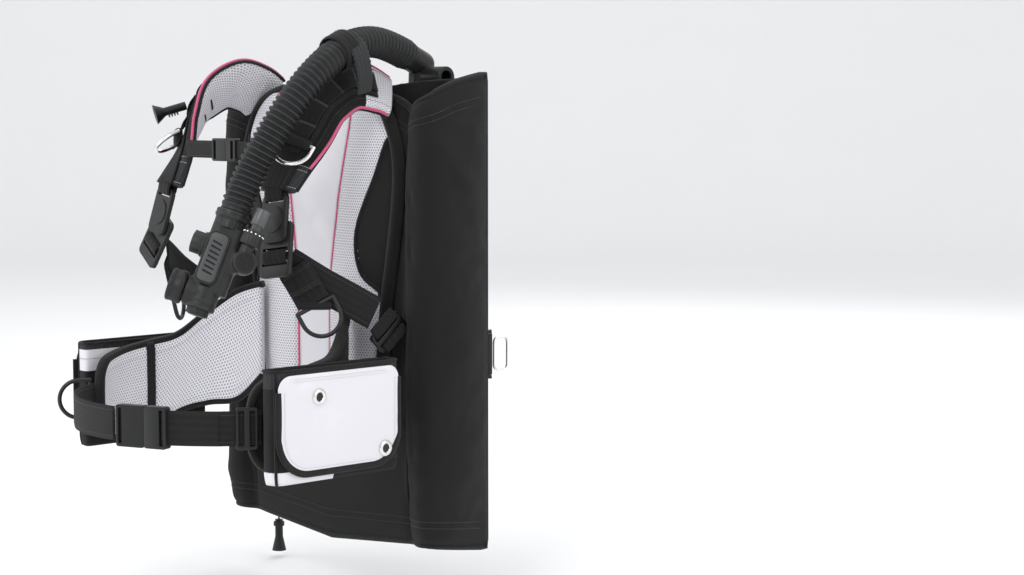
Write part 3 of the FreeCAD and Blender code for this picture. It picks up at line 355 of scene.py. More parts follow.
def ribbon_rings(points, acrosses, widths, thickness, lift=0.0, rounded=0.5, sides=6, crown=0.0):
    """Cross-sections of a strap with rounded edges; lift moves it out of its outer face.

    The ring starts on the inner face, so its first half is the inner face.
    """
    rings = []
    for point, along, across, width in zip(points, tangents(points), acrosses, widths):
        across = (across - along * across.dot(along)).normalized()
        outward = along.cross(across)
        ring = []
        half = width / 2
        for side in (-1, 1):
            face = []
            for step in range(sides + 1):
                share = -1 + 2 * step / sides
                bend = math.sqrt(max(0.0, 1 - abs(share) ** 6))
                face.append((share * half, side * (thickness / 2 * (rounded + (1 - rounded) * bend)
                                                   + crown * (1 - share * share))))
            if side > 0:
                face.reverse()
            ring.extend(face)
        rings.append([point + across * x + outward * (y + lift) for x, y in ring])
    return rings


def smooth_strap(points, acrosses, widths, steps):
    """Denser points, across directions and widths of a strap."""
    lines = catmull([Vector(p) for p in points], steps)
    sides = catmull([Vector(a) for a in acrosses], steps)
    pairs = catmull([Vector((w, 0, 0)) for w in widths], steps)
    return lines, sides, [pair.x for pair in pairs]


def strap(name, points, acrosses, widths, thickness, material=None, steps=6, lift=0.0,
          sides=6, **where):
    lines, across, width = smooth_strap(points, acrosses, widths, steps)
    rings = ribbon_rings(lines, across, width, thickness, lift, sides=sides)
    return build(name, rings, ring_uvs(rings), [material or WEBBING], **where)


def tube_rings(points, radius, count=12, start=None):
    """Round sections along a line, turned as little as possible from one to the next."""
    rings = []
    along = tangents(points)
    side = start or along[0].orthogonal().normalized()
    for i, (point, direction) in enumerate(zip(points, along)):
        side = (side - direction * side.dot(direction)).normalized()
        other = direction.cross(side)
        size = radius(i) if callable(radius) else radius
        rings.append([point + (side * math.cos(2 * math.pi * k / count)
                               + other * math.sin(2 * math.pi * k / count)) * size
                      for k in range(count)])
    return rings


def tube(name, points, radius, material, count=12, **where):
    rings = tube_rings(points, radius, count)
    return build(name, rings, ring_uvs(rings), [material], **where)


def loop_tube(name, points, radius, material, count=10, **where):
    """Closed tube, such as a wire ring."""
    total = len(points)
    rings = []
    side = None
    for i, point in enumerate(points):
        direction = (points[(i + 1) % total] - points[i - 1]).normalized()
        side = side or direction.orthogonal().normalized()
        side = (side - direction * side.dot(direction)).normalized()
        other = direction.cross(side)
        rings.append([point + (side * math.cos(2 * math.pi * k / count)
                               + other * math.sin(2 * math.pi * k / count)) * radius
                      for k in range(count)])
    rings.append(list(rings[0]))
    made = build(name, rings, ring_uvs(rings), [material], caps=False, **where)
    weld(made, 0.00005)
    return made


def weld(item, distance):
    modifier = item.modifiers.new("Weld", "WELD")
    modifier.merge_threshold = distance


def stitches(name, lines, material, pitch=3.4, length=2.2, radius=0.32, **where):
    """Dashes of thread lying along lines of points, in metres."""
    verts = []
    faces = []
    for line in lines:
        travel = 0.0
        next_dash = pitch / 2000
        for one, two in zip(line, line[1:]):
            span = (two - one).length
            if span < 1e-7:
                continue
            direction = (two - one) / span
            side = direction.orthogonal().normalized()
            other = direction.cross(side)
            while next_dash <= travel + span:
                middle = one + direction * (next_dash - travel)
                start = len(verts)
                for share, size in ((-0.5, 0.25), (-0.3, 1.0), (0.3, 1.0), (0.5, 0.25)):
                    for k in range(5):
                        turn = 2 * math.pi * k / 5
                        verts.append(middle + direction * (share * length / 1000)
                                     + (side * math.cos(turn) + other * math.sin(turn))
                                     * (size * radius / 1000))
                for ring in range(3):
                    for k in range(5):
                        base = start + ring * 5
                        faces.append((base + k, base + (k + 1) % 5, base + 5 + (k + 1) % 5,
                                      base + 5 + k))
                faces.append(tuple(start + k for k in range(4, -1, -1)))
                faces.append(tuple(start + 15 + k for k in range(5)))
                next_dash += pitch / 1000
            travel += span
    data = bpy.data.meshes.new(name)
    data.from_pydata([tuple(v) for v in verts], [], faces)
    data.materials.append(material)
    data.polygons.foreach_set("use_smooth", [True] * len(faces))
    data.update()
    return add_object(name, data, **where)


def plate2d(name, loops, thickness, bevel, material, place, **where):
    """Flat moulding with rounded edges: closed outlines in the local XY plane, in millimetres.

    Later loops inside the first are openings. It is centred on local z = 0.
    """
    curve = bpy.data.curves.new(name, "CURVE")
    curve.dimensions = "2D"
    curve.fill_mode = "BOTH"
    curve.extrude = (thickness / 2 - bevel) / 1000
    curve.bevel_depth = bevel / 1000
    curve.bevel_resolution = 2
    curve.offset = -bevel / 1000
    for loop in loops:
        spline = curve.splines.new("POLY")
        spline.points.add(len(loop) - 1)
        for point, (x, y) in zip(spline.points, loop):
            point.co = (x / 1000, y / 1000, 0, 1)
        spline.use_cyclic_u = True
    holder = bpy.data.objects.new(name + "_curve", curve)
    bpy.context.scene.collection.objects.link(holder)
    bpy.context.view_layer.update()
    graph = bpy.context.evaluated_depsgraph_get()
    data = bpy.data.meshes.new_from_object(holder.evaluated_get(graph))
    bpy.data.objects.remove(holder)
    data.name = name
    data.transform(place)
    data.materials.clear()
    data.materials.append(material)
    made = add_object(name, data, **where)
    weld(made, 0.00002)
    shade(made)
    return made


def shade(item, angle=38):
    """Smooth shading that keeps the hard corners."""
    mesh = item.data
    mesh.polygons.foreach_set("use_smooth", [True] * len(mesh.polygons))
    modifier = item.modifiers.new("Edges", "EDGE_SPLIT")
    modifier.split_angle = math.radians(angle)


def rounded(width, height, radius, x=0.0, y=0.0, steps=5):
    """Outline of a rectangle with round corners."""
    radius = min(radius, width / 2 - 0.01, height / 2 - 0.01)
    result = []
    corners = ((1, 1, 0), (-1, 1, 90), (-1, -1, 180), (1, -1, 270))
    for sx, sy, start in corners:
        for step in range(steps + 1):
            turn = math.radians(start + 90 * step / steps)
            result.append((x + sx * (width / 2 - radius) + radius * math.cos(turn),
                           y + sy * (height / 2 - radius) + radius * math.sin(turn)))
    return result


def circle(radius, x=0.0, y=0.0, count=28):
    return [(x + radius * math.cos(2 * math.pi * k / count),
             y + radius * math.sin(2 * math.pi * k / count)) for k in range(count)]


def frame_matrix(origin, along, outward):
    """Local Y along, Z outward, X across; origin in millimetres, the matrix in metres."""
    along = Vector(along).normalized()
    outward = Vector(outward)
    outward = (outward - along * outward.dot(along)).normalized()
    across = along.cross(outward)
    turn = Matrix((across, along, outward)).transposed().to_4x4()
    return Matrix.Translation(mm(origin)) @ turn


def lathe(name, profile, material, place, count=40, flutes=0, depth=0.0, **where):
    """Turned piece: profile of (radius, height) round local Z, with optional flutes."""
    rings = []
    for radius, height in profile:
        ring = []
        for k in range(count):
            turn = 2 * math.pi * k / count
            cut = depth * (0.5 + 0.5 * math.cos(flutes * turn)) if flutes else 0.0
            size = max(radius - cut, 0.05)
            ring.append(place @ mm(size * math.cos(turn), size * math.sin(turn), height))
        rings.append(ring)
    made = build(name, rings, ring_uvs(rings), [material], **where)
    shade(made, 32)
    return made


def mirror(point, side):
    return Vector((side * point[0], point[1], point[2]))


def turned(direction):
    """Rotation that takes local Z onto a direction ."""
    return Vector((0, 0, 1)).rotation_difference(Vector(direction).normalized()).to_matrix().to_4x4()


def side_name(stem, side):
    return stem + ("_left" if side > 0 else "_right")


def dress(node, material, bevel=0.5, angle=30):
    """A CAD node that stays: its own material, and softened edges."""
    item = nodes[node]
    item.data.materials.clear()
    item.data.materials.append(material)
    item.data.polygons.foreach_set("use_smooth", [True] * len(item.data.polygons))
    weld(item, 0.00001)
    if bevel:
        modifier = item.modifiers.new("Bevel", "BEVEL")
        modifier.width = bevel / 1000
        modifier.segments = 2
        modifier.limit_method = "ANGLE"
        modifier.angle_limit = math.radians(angle)
        modifier.harden_normals = False
    split = item.modifiers.new("Edges", "EDGE_SPLIT")
    split.split_angle = math.radians(40)


def moulding(name, node, material, cutters, voxel=1.2, rounds=4, **where):
    """A CAD solid turned into one smooth moulding: remeshed finely and rounded over."""
    data = nodes[node].data.copy()
    data.name = name
    data.materials.clear()
    data.materials.append(material)
    made = add_object(name, data, replaces=(node,), **where)
    weld(made, 0.00001)
    remesh = made.modifiers.new("Remesh", "REMESH")
    remesh.mode = "VOXEL"
    remesh.voxel_size = voxel / 1000
    remesh.use_smooth_shade = True
    soften = made.modifiers.new("Soften", "SMOOTH")
    soften.factor = 0.5
    soften.iterations = rounds
    apply_modifiers(made)
    for number, (place, profile) in enumerate(cutters):
        cutter = lathe("%s_cutter_%d" % (name, number), profile, material, place, 40, body=None)
        cutter.modifiers.clear()
        bore = made.modifiers.new("Bore", "BOOLEAN")
        bore.operation = "DIFFERENCE"
        bore.object = cutter
        bore.solver = "EXACT"
        apply_modifiers(made)
        bpy.data.objects.remove(cutter)
    shade(made, 45)
    return made


def apply_modifiers(item):
    graph = bpy.context.evaluated_depsgraph_get()
    bpy.context.view_layer.update()
    data = bpy.data.meshes.new_from_object(item.evaluated_get(graph))
    item.modifiers.clear()
    item.data = data


# ---------------------------------------------------------------- sheets that follow a surface

def slab(name, columns, materials, thickness, paint=None, edge=2.0, **where):
    """Padded sheet from a grid of (front point, normal): a band of flat faces joins front and back round its
    rim.

    Columns run across, and every column has the same number of points.
    """
    across = len(columns)
    along = len(columns[0])
    front = [[Vector(point) for point, _ in column] for column in columns]
    back = [[Vector(point) - Vector(normal).normalized() * thickness(i, j)
             for j, (point, normal) in enumerate(column)] for i, column in enumerate(columns)]
    verts = []
    faces = []
    corners = []
    indices = []

    def grid(points, flip, material):
        start = len(verts)
        lengths_u = [[0.0] * along for _ in range(across)]
        lengths_v = [[0.0] * along for _ in range(across)]
        middle = across // 2
        for i in range(across):
            for j in range(along):
                if j:
                    step = (points[middle][j] - points[middle][j - 1]).length
                    lengths_v[i][j] = lengths_v[i][j - 1] + step
        for j in range(along):
            for i in range(1, across):
                lengths_u[i][j] = lengths_u[i - 1][j] + (points[i][j] - points[i - 1][j]).length
            half = lengths_u[middle][j]
            for i in range(across):
                lengths_u[i][j] -= half
        verts.extend(point for column in points for point in column)
        for i in range(across - 1):
            for j in range(along - 1):
                quad = [(i, j), (i + 1, j), (i + 1, j + 1), (i, j + 1)]
                if flip:
                    quad.reverse()
                faces.append(tuple(start + a * along + b for a, b in quad))
                corners.extend((lengths_u[a][b], lengths_v[a][b]) for a, b in quad)
                indices.append(material(i, j))
        return start

    painter = paint or (lambda i, j, rear: 0)
    first = grid(front, False, lambda i, j: painter(i, j, False))
    second = grid(back, True, lambda i, j: painter(i, j, True))
    rim = ([(i, 0) for i in range(across)] + [(across - 1, j) for j in range(1, along)]
           + [(i, along - 1) for i in range(across - 2, -1, -1)]
           + [(0, j) for j in range(along - 2, 0, -1)])
    travel = 0.0
    for (a, b), (c, d) in zip(rim, rim[1:] + rim[:1]):
        quad = (first + c * along + d, first + a * along + b,
                second + a * along + b, second + c * along + d)
        step = (verts[quad[0]] - verts[quad[1]]).length
        depth = (verts[quad[1]] - verts[quad[2]]).length
        faces.append(quad)
        corners.extend(((travel + step, 0), (travel, 0), (travel, depth), (travel + step, depth)))
        travel += step
        indices.append(painter(min(a, across - 2), min(b, along - 2), False))
    data = bpy.data.meshes.new(name)
    data.from_pydata([tuple(v) for v in verts], [], faces)
    layer = data.uv_layers.new(name="UVMap")
    for loop, uv in enumerate(corners):
        layer.data[loop].uv = uv
    for material in materials:
        data.materials.append(material)
    data.polygons.foreach_set("material_index", indices)
    data.polygons.foreach_set("use_smooth", [True] * len(faces))
    data.update()
    made = add_object(name, data, **where)
    made["rim_front"] = 0
    return made, [front[a][b] for a, b in rim]


def oval_tube(name, points, outs, wide, deep, material, count=12, shut=True, **where):
    """Binding tape folded over an edge: oval sections, deep along outs and wide across it."""
    rings = []
    total = len(points)
    for i, (point, out) in enumerate(zip(points, outs)):
        before = points[i - 1] if shut or i else points[0]
        after = points[(i + 1) % total] if shut or i < total - 1 else points[-1]
        direction = (after - before).normalized()
        out = (out - direction * out.dot(direction)).normalized()
        side = direction.cross(out)
        ring = []
        for k in range(count):
            turn = 2 * math.pi * k / count
            x = math.copysign(abs(math.cos(turn)) ** 0.7, math.cos(turn))
            y = math.copysign(abs(math.sin(turn)) ** 0.7, math.sin(turn))
            ring.append(point + side * (x * wide / 2000) + out * (y * deep / 2000))
        rings.append(ring)
    if shut:
        rings.append([Vector(p) for p in rings[0]])
    made = build(name, rings, ring_uvs(rings), [material], caps=not shut, **where)
    if shut:
        weld(made, 0.00005)
    return made


def fluff(point, scale, amount):
    """Smooth seeded wobble, in the same unit as amount."""
    return noise.noise(Vector(point) * scale) * amount


def puff(item, pinned, pressure=4.0, cap=0.006, frames=14, stiffness=12.0, shrink=0.0):
    """Inflates a cloth whose pinned vertices stay, then keeps the shape as plain mesh."""
    mesh = item.data
    rest = [vertex.co.copy() for vertex in mesh.vertices]
    group = item.vertex_groups.new(name="pin")
    group.add([i for i in pinned], 1.0, "REPLACE")
    cloth = item.modifiers.new("Cloth", "CLOTH")
    settings = cloth.settings
    settings.quality = 6
    settings.mass = 0.25
    settings.tension_stiffness = stiffness
    settings.compression_stiffness = stiffness
    settings.shear_stiffness = stiffness / 2
    settings.bending_stiffness = 0.6
    settings.use_pressure = True
    settings.uniform_pressure_force = pressure
    settings.vertex_group_mass = "pin"
    settings.shrink_min = shrink
    settings.effector_weights.gravity = 0.0
    cloth.collision_settings.use_collision = False
    cloth.point_cache.frame_start = 1
    cloth.point_cache.frame_end = frames
    scene = bpy.context.scene
    for number in range(1, frames + 1):
        scene.frame_set(number)
    graph = bpy.context.evaluated_depsgraph_get()
    shaped = bpy.data.meshes.new_from_object(item.evaluated_get(graph))
    for vertex, start, end in zip(mesh.vertices, rest, shaped.vertices):
        move = end.co - start
        if move.length > cap:
            move = move.normalized() * cap
        vertex.co = start + move
    item.modifiers.clear()
    item.vertex_groups.clear()
    bpy.data.meshes.remove(shaped)
    mesh.update()
    scene.frame_set(1)


def smooth_up(item, levels=1):
    modifier = item.modifiers.new("Fine", "SUBSURF")
    modifier.levels = levels
    modifier.render_levels = levels
    modifier.boundary_smooth = "PRESERVE_CORNERS"


# ---------------------------------------------------------------- back pad

PAD_SHARES = ((0, .70), (.22, .78), (.40, .84), (.53, .91), (.69, .985), (.80, .99),
              (.88, .92), (.935, .82), (.975, .65), (1.0, .38))
PINK_LINE = ((-92, 30), (51, 30), (111, 32), (135, 36), (195, 45), (277, 64), (317, 72), (329, 74))
SCOOP = ((80, 135), (82, 117), (93, 115), (115, 93), (162, 88), (227, 117), (267, 131), (270, 140))
PAD_LOW, PAD_HIGH, PAD_FRONT, PAD_BACK = -92, 329, -134.2, -114.2


def table_at(table, key):
    for (a, x), (b, y) in zip(table, table[1:]):
        if key <= b:
            return x + (y - x) * max(0.0, (key - a) / (b - a))
    return table[-1][1]


def smooth_table(table, steps=10):
    return [(p.x, p.y) for p in catmull([Vector((a, b, 0)) for a, b in table], steps)]


PAD_WIDTHS = smooth_table(PAD_SHARES)


def pad_half(z):
    return 147 * table_at(PAD_WIDTHS, (z - PAD_LOW) / (PAD_HIGH - PAD_LOW))


def pad_bulge(x, z):
    """How far the padded channels stand forward of the flat pad face."""
    line = table_at(PINK_LINE, z)
    rise = table_at(((-92, 9), (-20, 9), (60, 8), (186, 5), (300, 1), (330, 0)), z)
    if abs(x) < line:
        share = abs(x) / line
        return 0.2 + 2.6 * math.sqrt(max(0.0, 1 - share * share)) + 0.35 * rise
    share = (abs(x) - line) / max(4.0, pad_half(z) - line)
    return 0.2 + (2.4 + rise) * math.sin(math.pi * min(1.0, share) ** 0.62) + 0.35 * rise * (1 - share)


def make_back_pad():
    across, along = 97, 141
    columns = []
    line_index = {}
    for i in range(across):
        column = []
        for j in range(along):
            z = PAD_LOW + 3 + (PAD_HIGH - PAD_LOW - 6) * j / (along - 1)
            half = pad_half(z) - 3
            line = min(table_at(PINK_LINE, z), half - 4)
            share = -1 + 2 * i / (across - 1)
            if abs(share) <= 0.34:
                x = share / 0.34 * line
            else:
                x = math.copysign(line + (abs(share) - 0.34) / 0.66 * (half - line), share)
            edge = max(0.0, 1 - (half - abs(x)) / 14) ** 2
            top = max(0.0, 1 - min(z - PAD_LOW, PAD_HIGH - z) / 16) ** 2
            y = (PAD_FRONT + 2.8 - pad_bulge(x, z) * (1 - edge) * (1 - top)
                 + 5.5 * max(edge, top) - fluff((x, 0, z), 0.02, 0.8))
            column.append((mm(x, y, z), Vector((0, -1, 0))))
        columns.append(column)

    def depth(i, j):
        point = columns[i][j][0]
        return -(point.y * 1000 - (PAD_BACK - 1)) / 1000

    def paint(i, j, rear):
        point = columns[i][j][0] * 1000
        after = columns[i + 1][j + 1][0] * 1000
        x = abs((point.x + after.x) / 2)
        z = (point.z + after.z) / 2
        if rear:
            return 1
        if x < table_at(PINK_LINE, z):
            return 2
        if 82 < z < 268 and x > table_at(SCOOP, z) - 1.6:
            return 1
        return 0

    pad, rim = slab("padded_back", columns, [WHITE_MESH, BLACK_CLOTH, WHITE_CLOTH], depth, paint,
                    body="vest", slot="mesh_white", replaces=("back_pad",))
    pins = []
    for i in range(across):
        for j in range(along):
            x = abs(columns[i][j][0].x * 1000)
            z = columns[i][j][0].z * 1000
            seam = abs(x - table_at(PINK_LINE, z)) < 2.5
            if seam or i < 2 or j < 2 or i > across - 3 or j > along - 3:
                pins.append(i * along + j)
    pins.extend(range(across * along, 2 * across * along))
    puff(pad, pins, 2.5, 0.003, 10)
    smooth_up(pad)
    surface = pad.data

    def front_at(x, z):
        """Point on the pad's front, from the grid."""
        j = min(along - 1.001, max(0.0, (z - PAD_LOW - 3) / (PAD_HIGH - PAD_LOW - 6) * (along - 1)))
        half = pad_half(z) - 3
        line = min(table_at(PINK_LINE, z), half - 4)
        if abs(x) <= line:
            share = x / line * 0.34
        else:
            share = math.copysign(0.34 + 0.66 * (abs(x) - line) / (half - line), x)
        i = min(across - 1.001, max(0.0, (share + 1) / 2 * (across - 1)))
        a, b = int(i), int(j)
        p, q = i - a, j - b
        spots = [surface.vertices[m * along + n].co for m, n in ((a, b), (a + 1, b), (a, b + 1),
                                                                  (a + 1, b + 1))]
        y = ((spots[0] * (1 - p) + spots[1] * p) * (1 - q) + (spots[2] * (1 - p) + spots[3] * p) * q).y
        return Vector((x / 1000, y, z / 1000))

    outs = []
    shrunk = []
    middle = mm(0, -124, 118)
    for point in rim:
        out = point - middle
        out.y = 0
        outs.append(out.normalized())
        shrunk.append(Vector((point.x, -0.1245, point.z)))
    oval_tube("back_pad_binding", shrunk, outs, 17.5, 9.0, BINDING, shut=True,
              body="vest", slot="fabric_black")
    seams = []
    threads = []
    for side in (-1, 1):
        zs = [PAD_LOW + 6 + (PAD_HIGH - PAD_LOW - 16) * k / 150 for k in range(151)]
        seam = [front_at(side * table_at(PINK_LINE, z), z) + mm(0, -0.3, 0) for z in zs]
        seams.append(seam)
        for offset in (-3.4, 3.4):
            threads.append([front_at(side * table_at(PINK_LINE, z) + offset, z) + mm(0, -0.25, 0)
                            for z in zs])
        scoop = smooth_table(SCOOP, 6)
        line = [front_at(side * x, z) + mm(0, -0.2, 0) for z, x in scoop if x < pad_half(z) - 4]
        tube(side_name("scoop_piping", side), line, 0.0025, BINDING, body="vest",
             slot="fabric_black")
    for side, seam in zip((-1, 1), seams):
        tube(side_name("pink_seam", side), seam, 0.0013, PINK, body="vest", slot="fabric_white")
    stitches("pad_stitches", threads[:], THREAD_WHITE, body="vest", slot="fabric_white")
    return front_at


pad_front = make_back_pad()


# ---------------------------------------------------------------- shoulder straps

STATIONS = (((119, -118.2, 314), (.60, -.10, -.78), 1), ((114, -140.2, 325), (.57, -.05, -.80), 1),
            ((109, -174.2, 330), (.54, .02, -.84), 1), ((109, -209.2, 311), (.56, .22, -.80), 1),
            ((107, -230.2, 278), (.72, .36, -.55), .97), ((103, -248.2, 245), (.90, .30, -.20), .92),
            ((105, -267.2, 211), (.98, .10, 0), .82))


def sided(points, acrosses, side):
    """Points and across directions on the given side, with the outer face still outside."""
    return ([mm(mirror(point, side)) for point in points],
            [mirror(across, side) * side for across in acrosses])


def face_line(rings, index, lift=0.0):
    """Line along a strap at one place of its section, moved away from the section's middle."""
    line = []
    for ring in rings:
        middle = sum(ring, Vector()) / len(ring)
        point = ring[index]
        line.append(point + (point - middle).normalized() * lift / 1000)
    return line


def make_shoulder(side):
    points, acrosses = sided([s[0] for s in STATIONS], [s[1] for s in STATIONS], side)
    widths = [s[2] * 0.066 for s in STATIONS]
    lines, across, width = smooth_strap(points, acrosses, widths, 14)
    sides = 14
    rings = ribbon_rings(lines, across, width, 0.012, sides=sides, rounded=0.3, crown=0.0012)
    last = len(rings) - 1

    def paint(i, j):
        if i > last - 13:
            return 2
        return 0 if j < sides or i < 20 else 1

    pad = build(side_name("shoulder_padding", side), rings, ring_uvs(rings),
                [WHITE_MESH, BLACK_CLOTH, GREY_TAPE], paint, body="vest", slot="mesh_white",
                replaces=(side_name("shoulder_pad", side),))
    pins = []
    for i in range(len(rings)):
        for j in range(2 * sides + 2):
            if i < 2 or i > last - 2 or j in (0, sides, sides + 1, 2 * sides + 1):
                pins.append(i * (2 * sides + 2) + j)
    puff(pad, pins, 3.0, 0.0022, 10)
    smooth_up(pad)
    where = {"body": "vest", "slot": "fabric_white"}
    for place, index in (("outer", sides + 1), ("inner", 2 * sides + 1)):
        tube(side_name("shoulder_piping_" + place, side), face_line(rings, index, 0.6)[2:-12],
             0.0017, PINK, count=10, **where)
    for place, index in (("front", sides), ("rear", 0)):
        tube(side_name("shoulder_edge_" + place, side), face_line(rings, index, 0.2)[1:-1],
             0.0019, BINDING, count=10, body="vest", slot="fabric_black")
    threads = [face_line(rings, index, 0.5)[2:-14] for index in (sides + 3, 2 * sides - 1)]
    stitches(side_name("shoulder_stitches", side), threads, THREAD_DARK, pitch=3.2,
             body="vest", slot="fabric_black")
    band = rings[last - 12]
    threads = [[point + (point - sum(band, Vector()) / len(band)).normalized() * 0.0008
                for point in rings[row][sides + 1:]] for row in (last - 12, last - 10, last - 2)]
    stitches(side_name("end_band_stitches", side), threads, THREAD_WHITE, pitch=2.6, length=1.7,
             body="vest", slot="fabric_white")
    # bar tacks on the underside, just behind the strap's front end
    tacks = []
    for row in (int(last * 0.52), int(last * 0.60)):
        ring = rings[row]
        for shift in (-0.8, 0, 0.8):
            nudge = (rings[row + 1][3] - ring[3]).normalized() * shift / 1000
            tacks.append([ring[k] * 1.0 + nudge + (ring[k] - ring[k + sides + 2]).normalized() * 0.001
                          for k in range(5, 10)])
    stitches(side_name("underside_tacks", side), tacks, BINDING, pitch=0.9, length=1.1, radius=0.5,
             body="vest", slot="fabric_black")
    make_daisy_chain(side, points, acrosses)
    return rings


def make_daisy_chain(side, points, acrosses):
    """Webbing on the outer face, and a second layer tacked to it so that it stands in loops."""
    lines, across, width = smooth_strap(points[1:], acrosses[1:], [0.038] * 6, 22)
    base = ribbon_rings(lines, across, width, 0.0024, 0.0085, sides=8)
    build(side_name("strap_webbing", side), base, ring_uvs(base), [WEBBING], body="vest",
          slot="webbing", replaces=(side_name("shoulder_webbing", side),))
    edges = [face_line(base, index, 0.15) for index in (10, 16)]
    travel = 0.0
    lifts = []
    tacks = []
    last_tack = -1
    for i, point in enumerate(lines):
        if i:
            travel += (point - lines[i - 1]).length
        number = int(travel / 0.027)
        share = travel / 0.027 - number
        lifts.append(0.0107 + 0.0034 * math.sin(math.pi * share) ** 0.7)
        if number != last_tack:
            tacks.append(i)
            last_tack = number
    stop = len(lines) - 26
    upper = []
    for i in range(stop):
        pair = lines[max(i - 1, 0):i + 2]
        if len(pair) < 2:
            continue
        ring = ribbon_rings([pair[0], pair[-1]], [across[i]] * 2, [0.0255] * 2, 0.0019,
                            lifts[i], sides=6)[0]
        shift = lines[i] - pair[0]
        upper.append([corner + shift for corner in ring])
    build(side_name("daisy_chain", side), upper, ring_uvs(upper), [WEBBING], body="vest",
          slot="webbing")
    bars = []
    for i in tacks:
        if 0 < i < stop - 1:
            ring = upper[i]
            step = (lines[i + 1] - lines[i]).normalized()
            for shift in (-1.0, -0.3, 0.4, 1.1):
                bars.append([ring[k] + step * shift / 1000
                             + (ring[10] - ring[3]).normalized() * 0.0004 for k in range(7, 14)])
    stitches(side_name("daisy_tacks", side), bars, THREAD_DARK, pitch=1.2, length=1.3, radius=0.42,
             body="vest", slot="webbing")
    stitches(side_name("strap_webbing_stitches", side), edges, THREAD_DARK, pitch=2.9,
             length=2.0, radius=0.3, body="vest", slot="webbing")


shoulder_rings = {side: make_shoulder(side) for side in (1, -1)}


def roll(name, centre, axis, length, wide, deep, outward, material=WEBBING, **where):
    """Webbing rolled round a bar: an oval tube whose ends are open folds."""
    axis = Vector(axis).normalized()
    outward = (Vector(outward) - axis * axis.dot(Vector(outward))).normalized()
    other = axis.cross(outward)
    rings = []
    for share, size in ((-0.5, 0.82), (-0.47, 0.98), (-0.2, 1.03), (0.2, 1.03), (0.47, 0.98),
                        (0.5, 0.82)):
        ring = []
        for k in range(20):
            turn = 2 * math.pi * k / 20
            ring.append(mm(centre) + axis * (share * length / 1000)
                        + outward * (math.cos(turn) * deep * size / 2000)
                        + other * (math.sin(turn) * wide * size / 2000))
        rings.append(ring)
    made = build(name, rings, ring_uvs(rings), [material], **where)
    return made


for side in (1, -1):
    roll(side_name("ring_keeper", side), mirror((114.04, -248.82, 267.39), side),
         mirror((-.77984, -.5053, .36948), side), 36, 12.5, 10.5,
         mirror((.6211, -.69817, .35609), side), body="vest", slot="webbing")


# ---------------------------------------------------------------- lower straps

LOWER = ((115.45, -265.02, 133.14), (134.18, -233.07, 108.96), (147.62, -199.18, 88.56),
         (151, -168.2, 72))
LOWER_ACROSS = ((.66, .75, 0), (.45, .75, .48), (.2, .72, .66), (.1, .72, .69))
TAIL_ACROSS = (.66, .75, 0)
tail_points = [tuple(LOWER[0][k] + shift[k] for k in range(3))
               for shift in ((4, 6, -6), (12, 15, -26), (18, 24, -46))]


def edge_threads(name, rings, sides, inset, **where):
    """Two rows of stitching along a strap's outer face."""
    lines = [face_line(rings, index, 0.25) for index in (sides + 1 + inset, 2 * sides + 1 - inset)]
    return stitches(name, lines, THREAD_DARK, pitch=2.8, length=1.9, radius=0.3, **where)


for side in (1, -1):
    points, acrosses = sided(LOWER, LOWER_ACROSS, side)
    lines, across, width = smooth_strap(points, acrosses, [0.038] * 4, 12)
    main = ribbon_rings(lines, across, width, 0.0026, sides=8)
    build(side_name("lower_webbing", side), main, ring_uvs(main), [WEBBING], body="vest",
          slot="webbing", replaces=(side_name("lower_strap", side),))
    edge_threads(side_name("lower_webbing_stitches", side), main, 8, 1, body="vest",
                 slot="webbing")
    points, acrosses = sided(tail_points, [TAIL_ACROSS] * 3, side)
    lines, across, width = smooth_strap(points, acrosses, [0.038] * 3, 10)
    tail = ribbon_rings(lines, across, width, 0.0030, sides=8)
    build(side_name("ring_tail", side), tail, ring_uvs(tail), [WEBBING], body="vest",
          slot="webbing")
    # the tail is folded round the ring's bar and sewn back to itself
    fold = ribbon_rings(lines[:14], across[:14], [0.036] * 14, 0.0026, 0.0028, sides=8)
    build(side_name("ring_tail_fold", side), fold, ring_uvs(fold), [WEBBING], body="vest",
          slot="webbing")
    bars = []
    for row in (3, 4, 11, 12):
        bars.append([point + (fold[row][12] - fold[row][4]).normalized() * 0.0004
                     for point in fold[row][9:18]])
    stitches(side_name("ring_tail_stitches", side), bars, THREAD_DARK, pitch=2.2, length=1.6,
             radius=0.35, body="vest", slot="webbing")
    along = (mm(mirror(tail_points[2], side)) - mm(mirror(tail_points[1], side))).normalized()
    centre = Vector(mirror(tail_points[2], side)) + along * 3.5
    roll(side_name("lower_ring_keeper", side), centre, mirror(TAIL_ACROSS, side), 36, 9.5, 8.5,
         mirror((0.55, -0.5, 0.3), side), body="vest", slot="webbing")


# ---------------------------------------------------------------- wing

WING_PLAN = ((0, -109.6), (124, -109.6), (150, -108.1), (168, -117.6), (185, -114.6),
             (194, -83.6), (195, -39.6))
WING_LOWS = (-214, -202, -200, -199, -199, -203, -209)
WING_HIGHS = (345, 315, 301, 309, 318, 333, 343)
WING_THICK = (8, 8, 7, 12, 16, 16, 10)


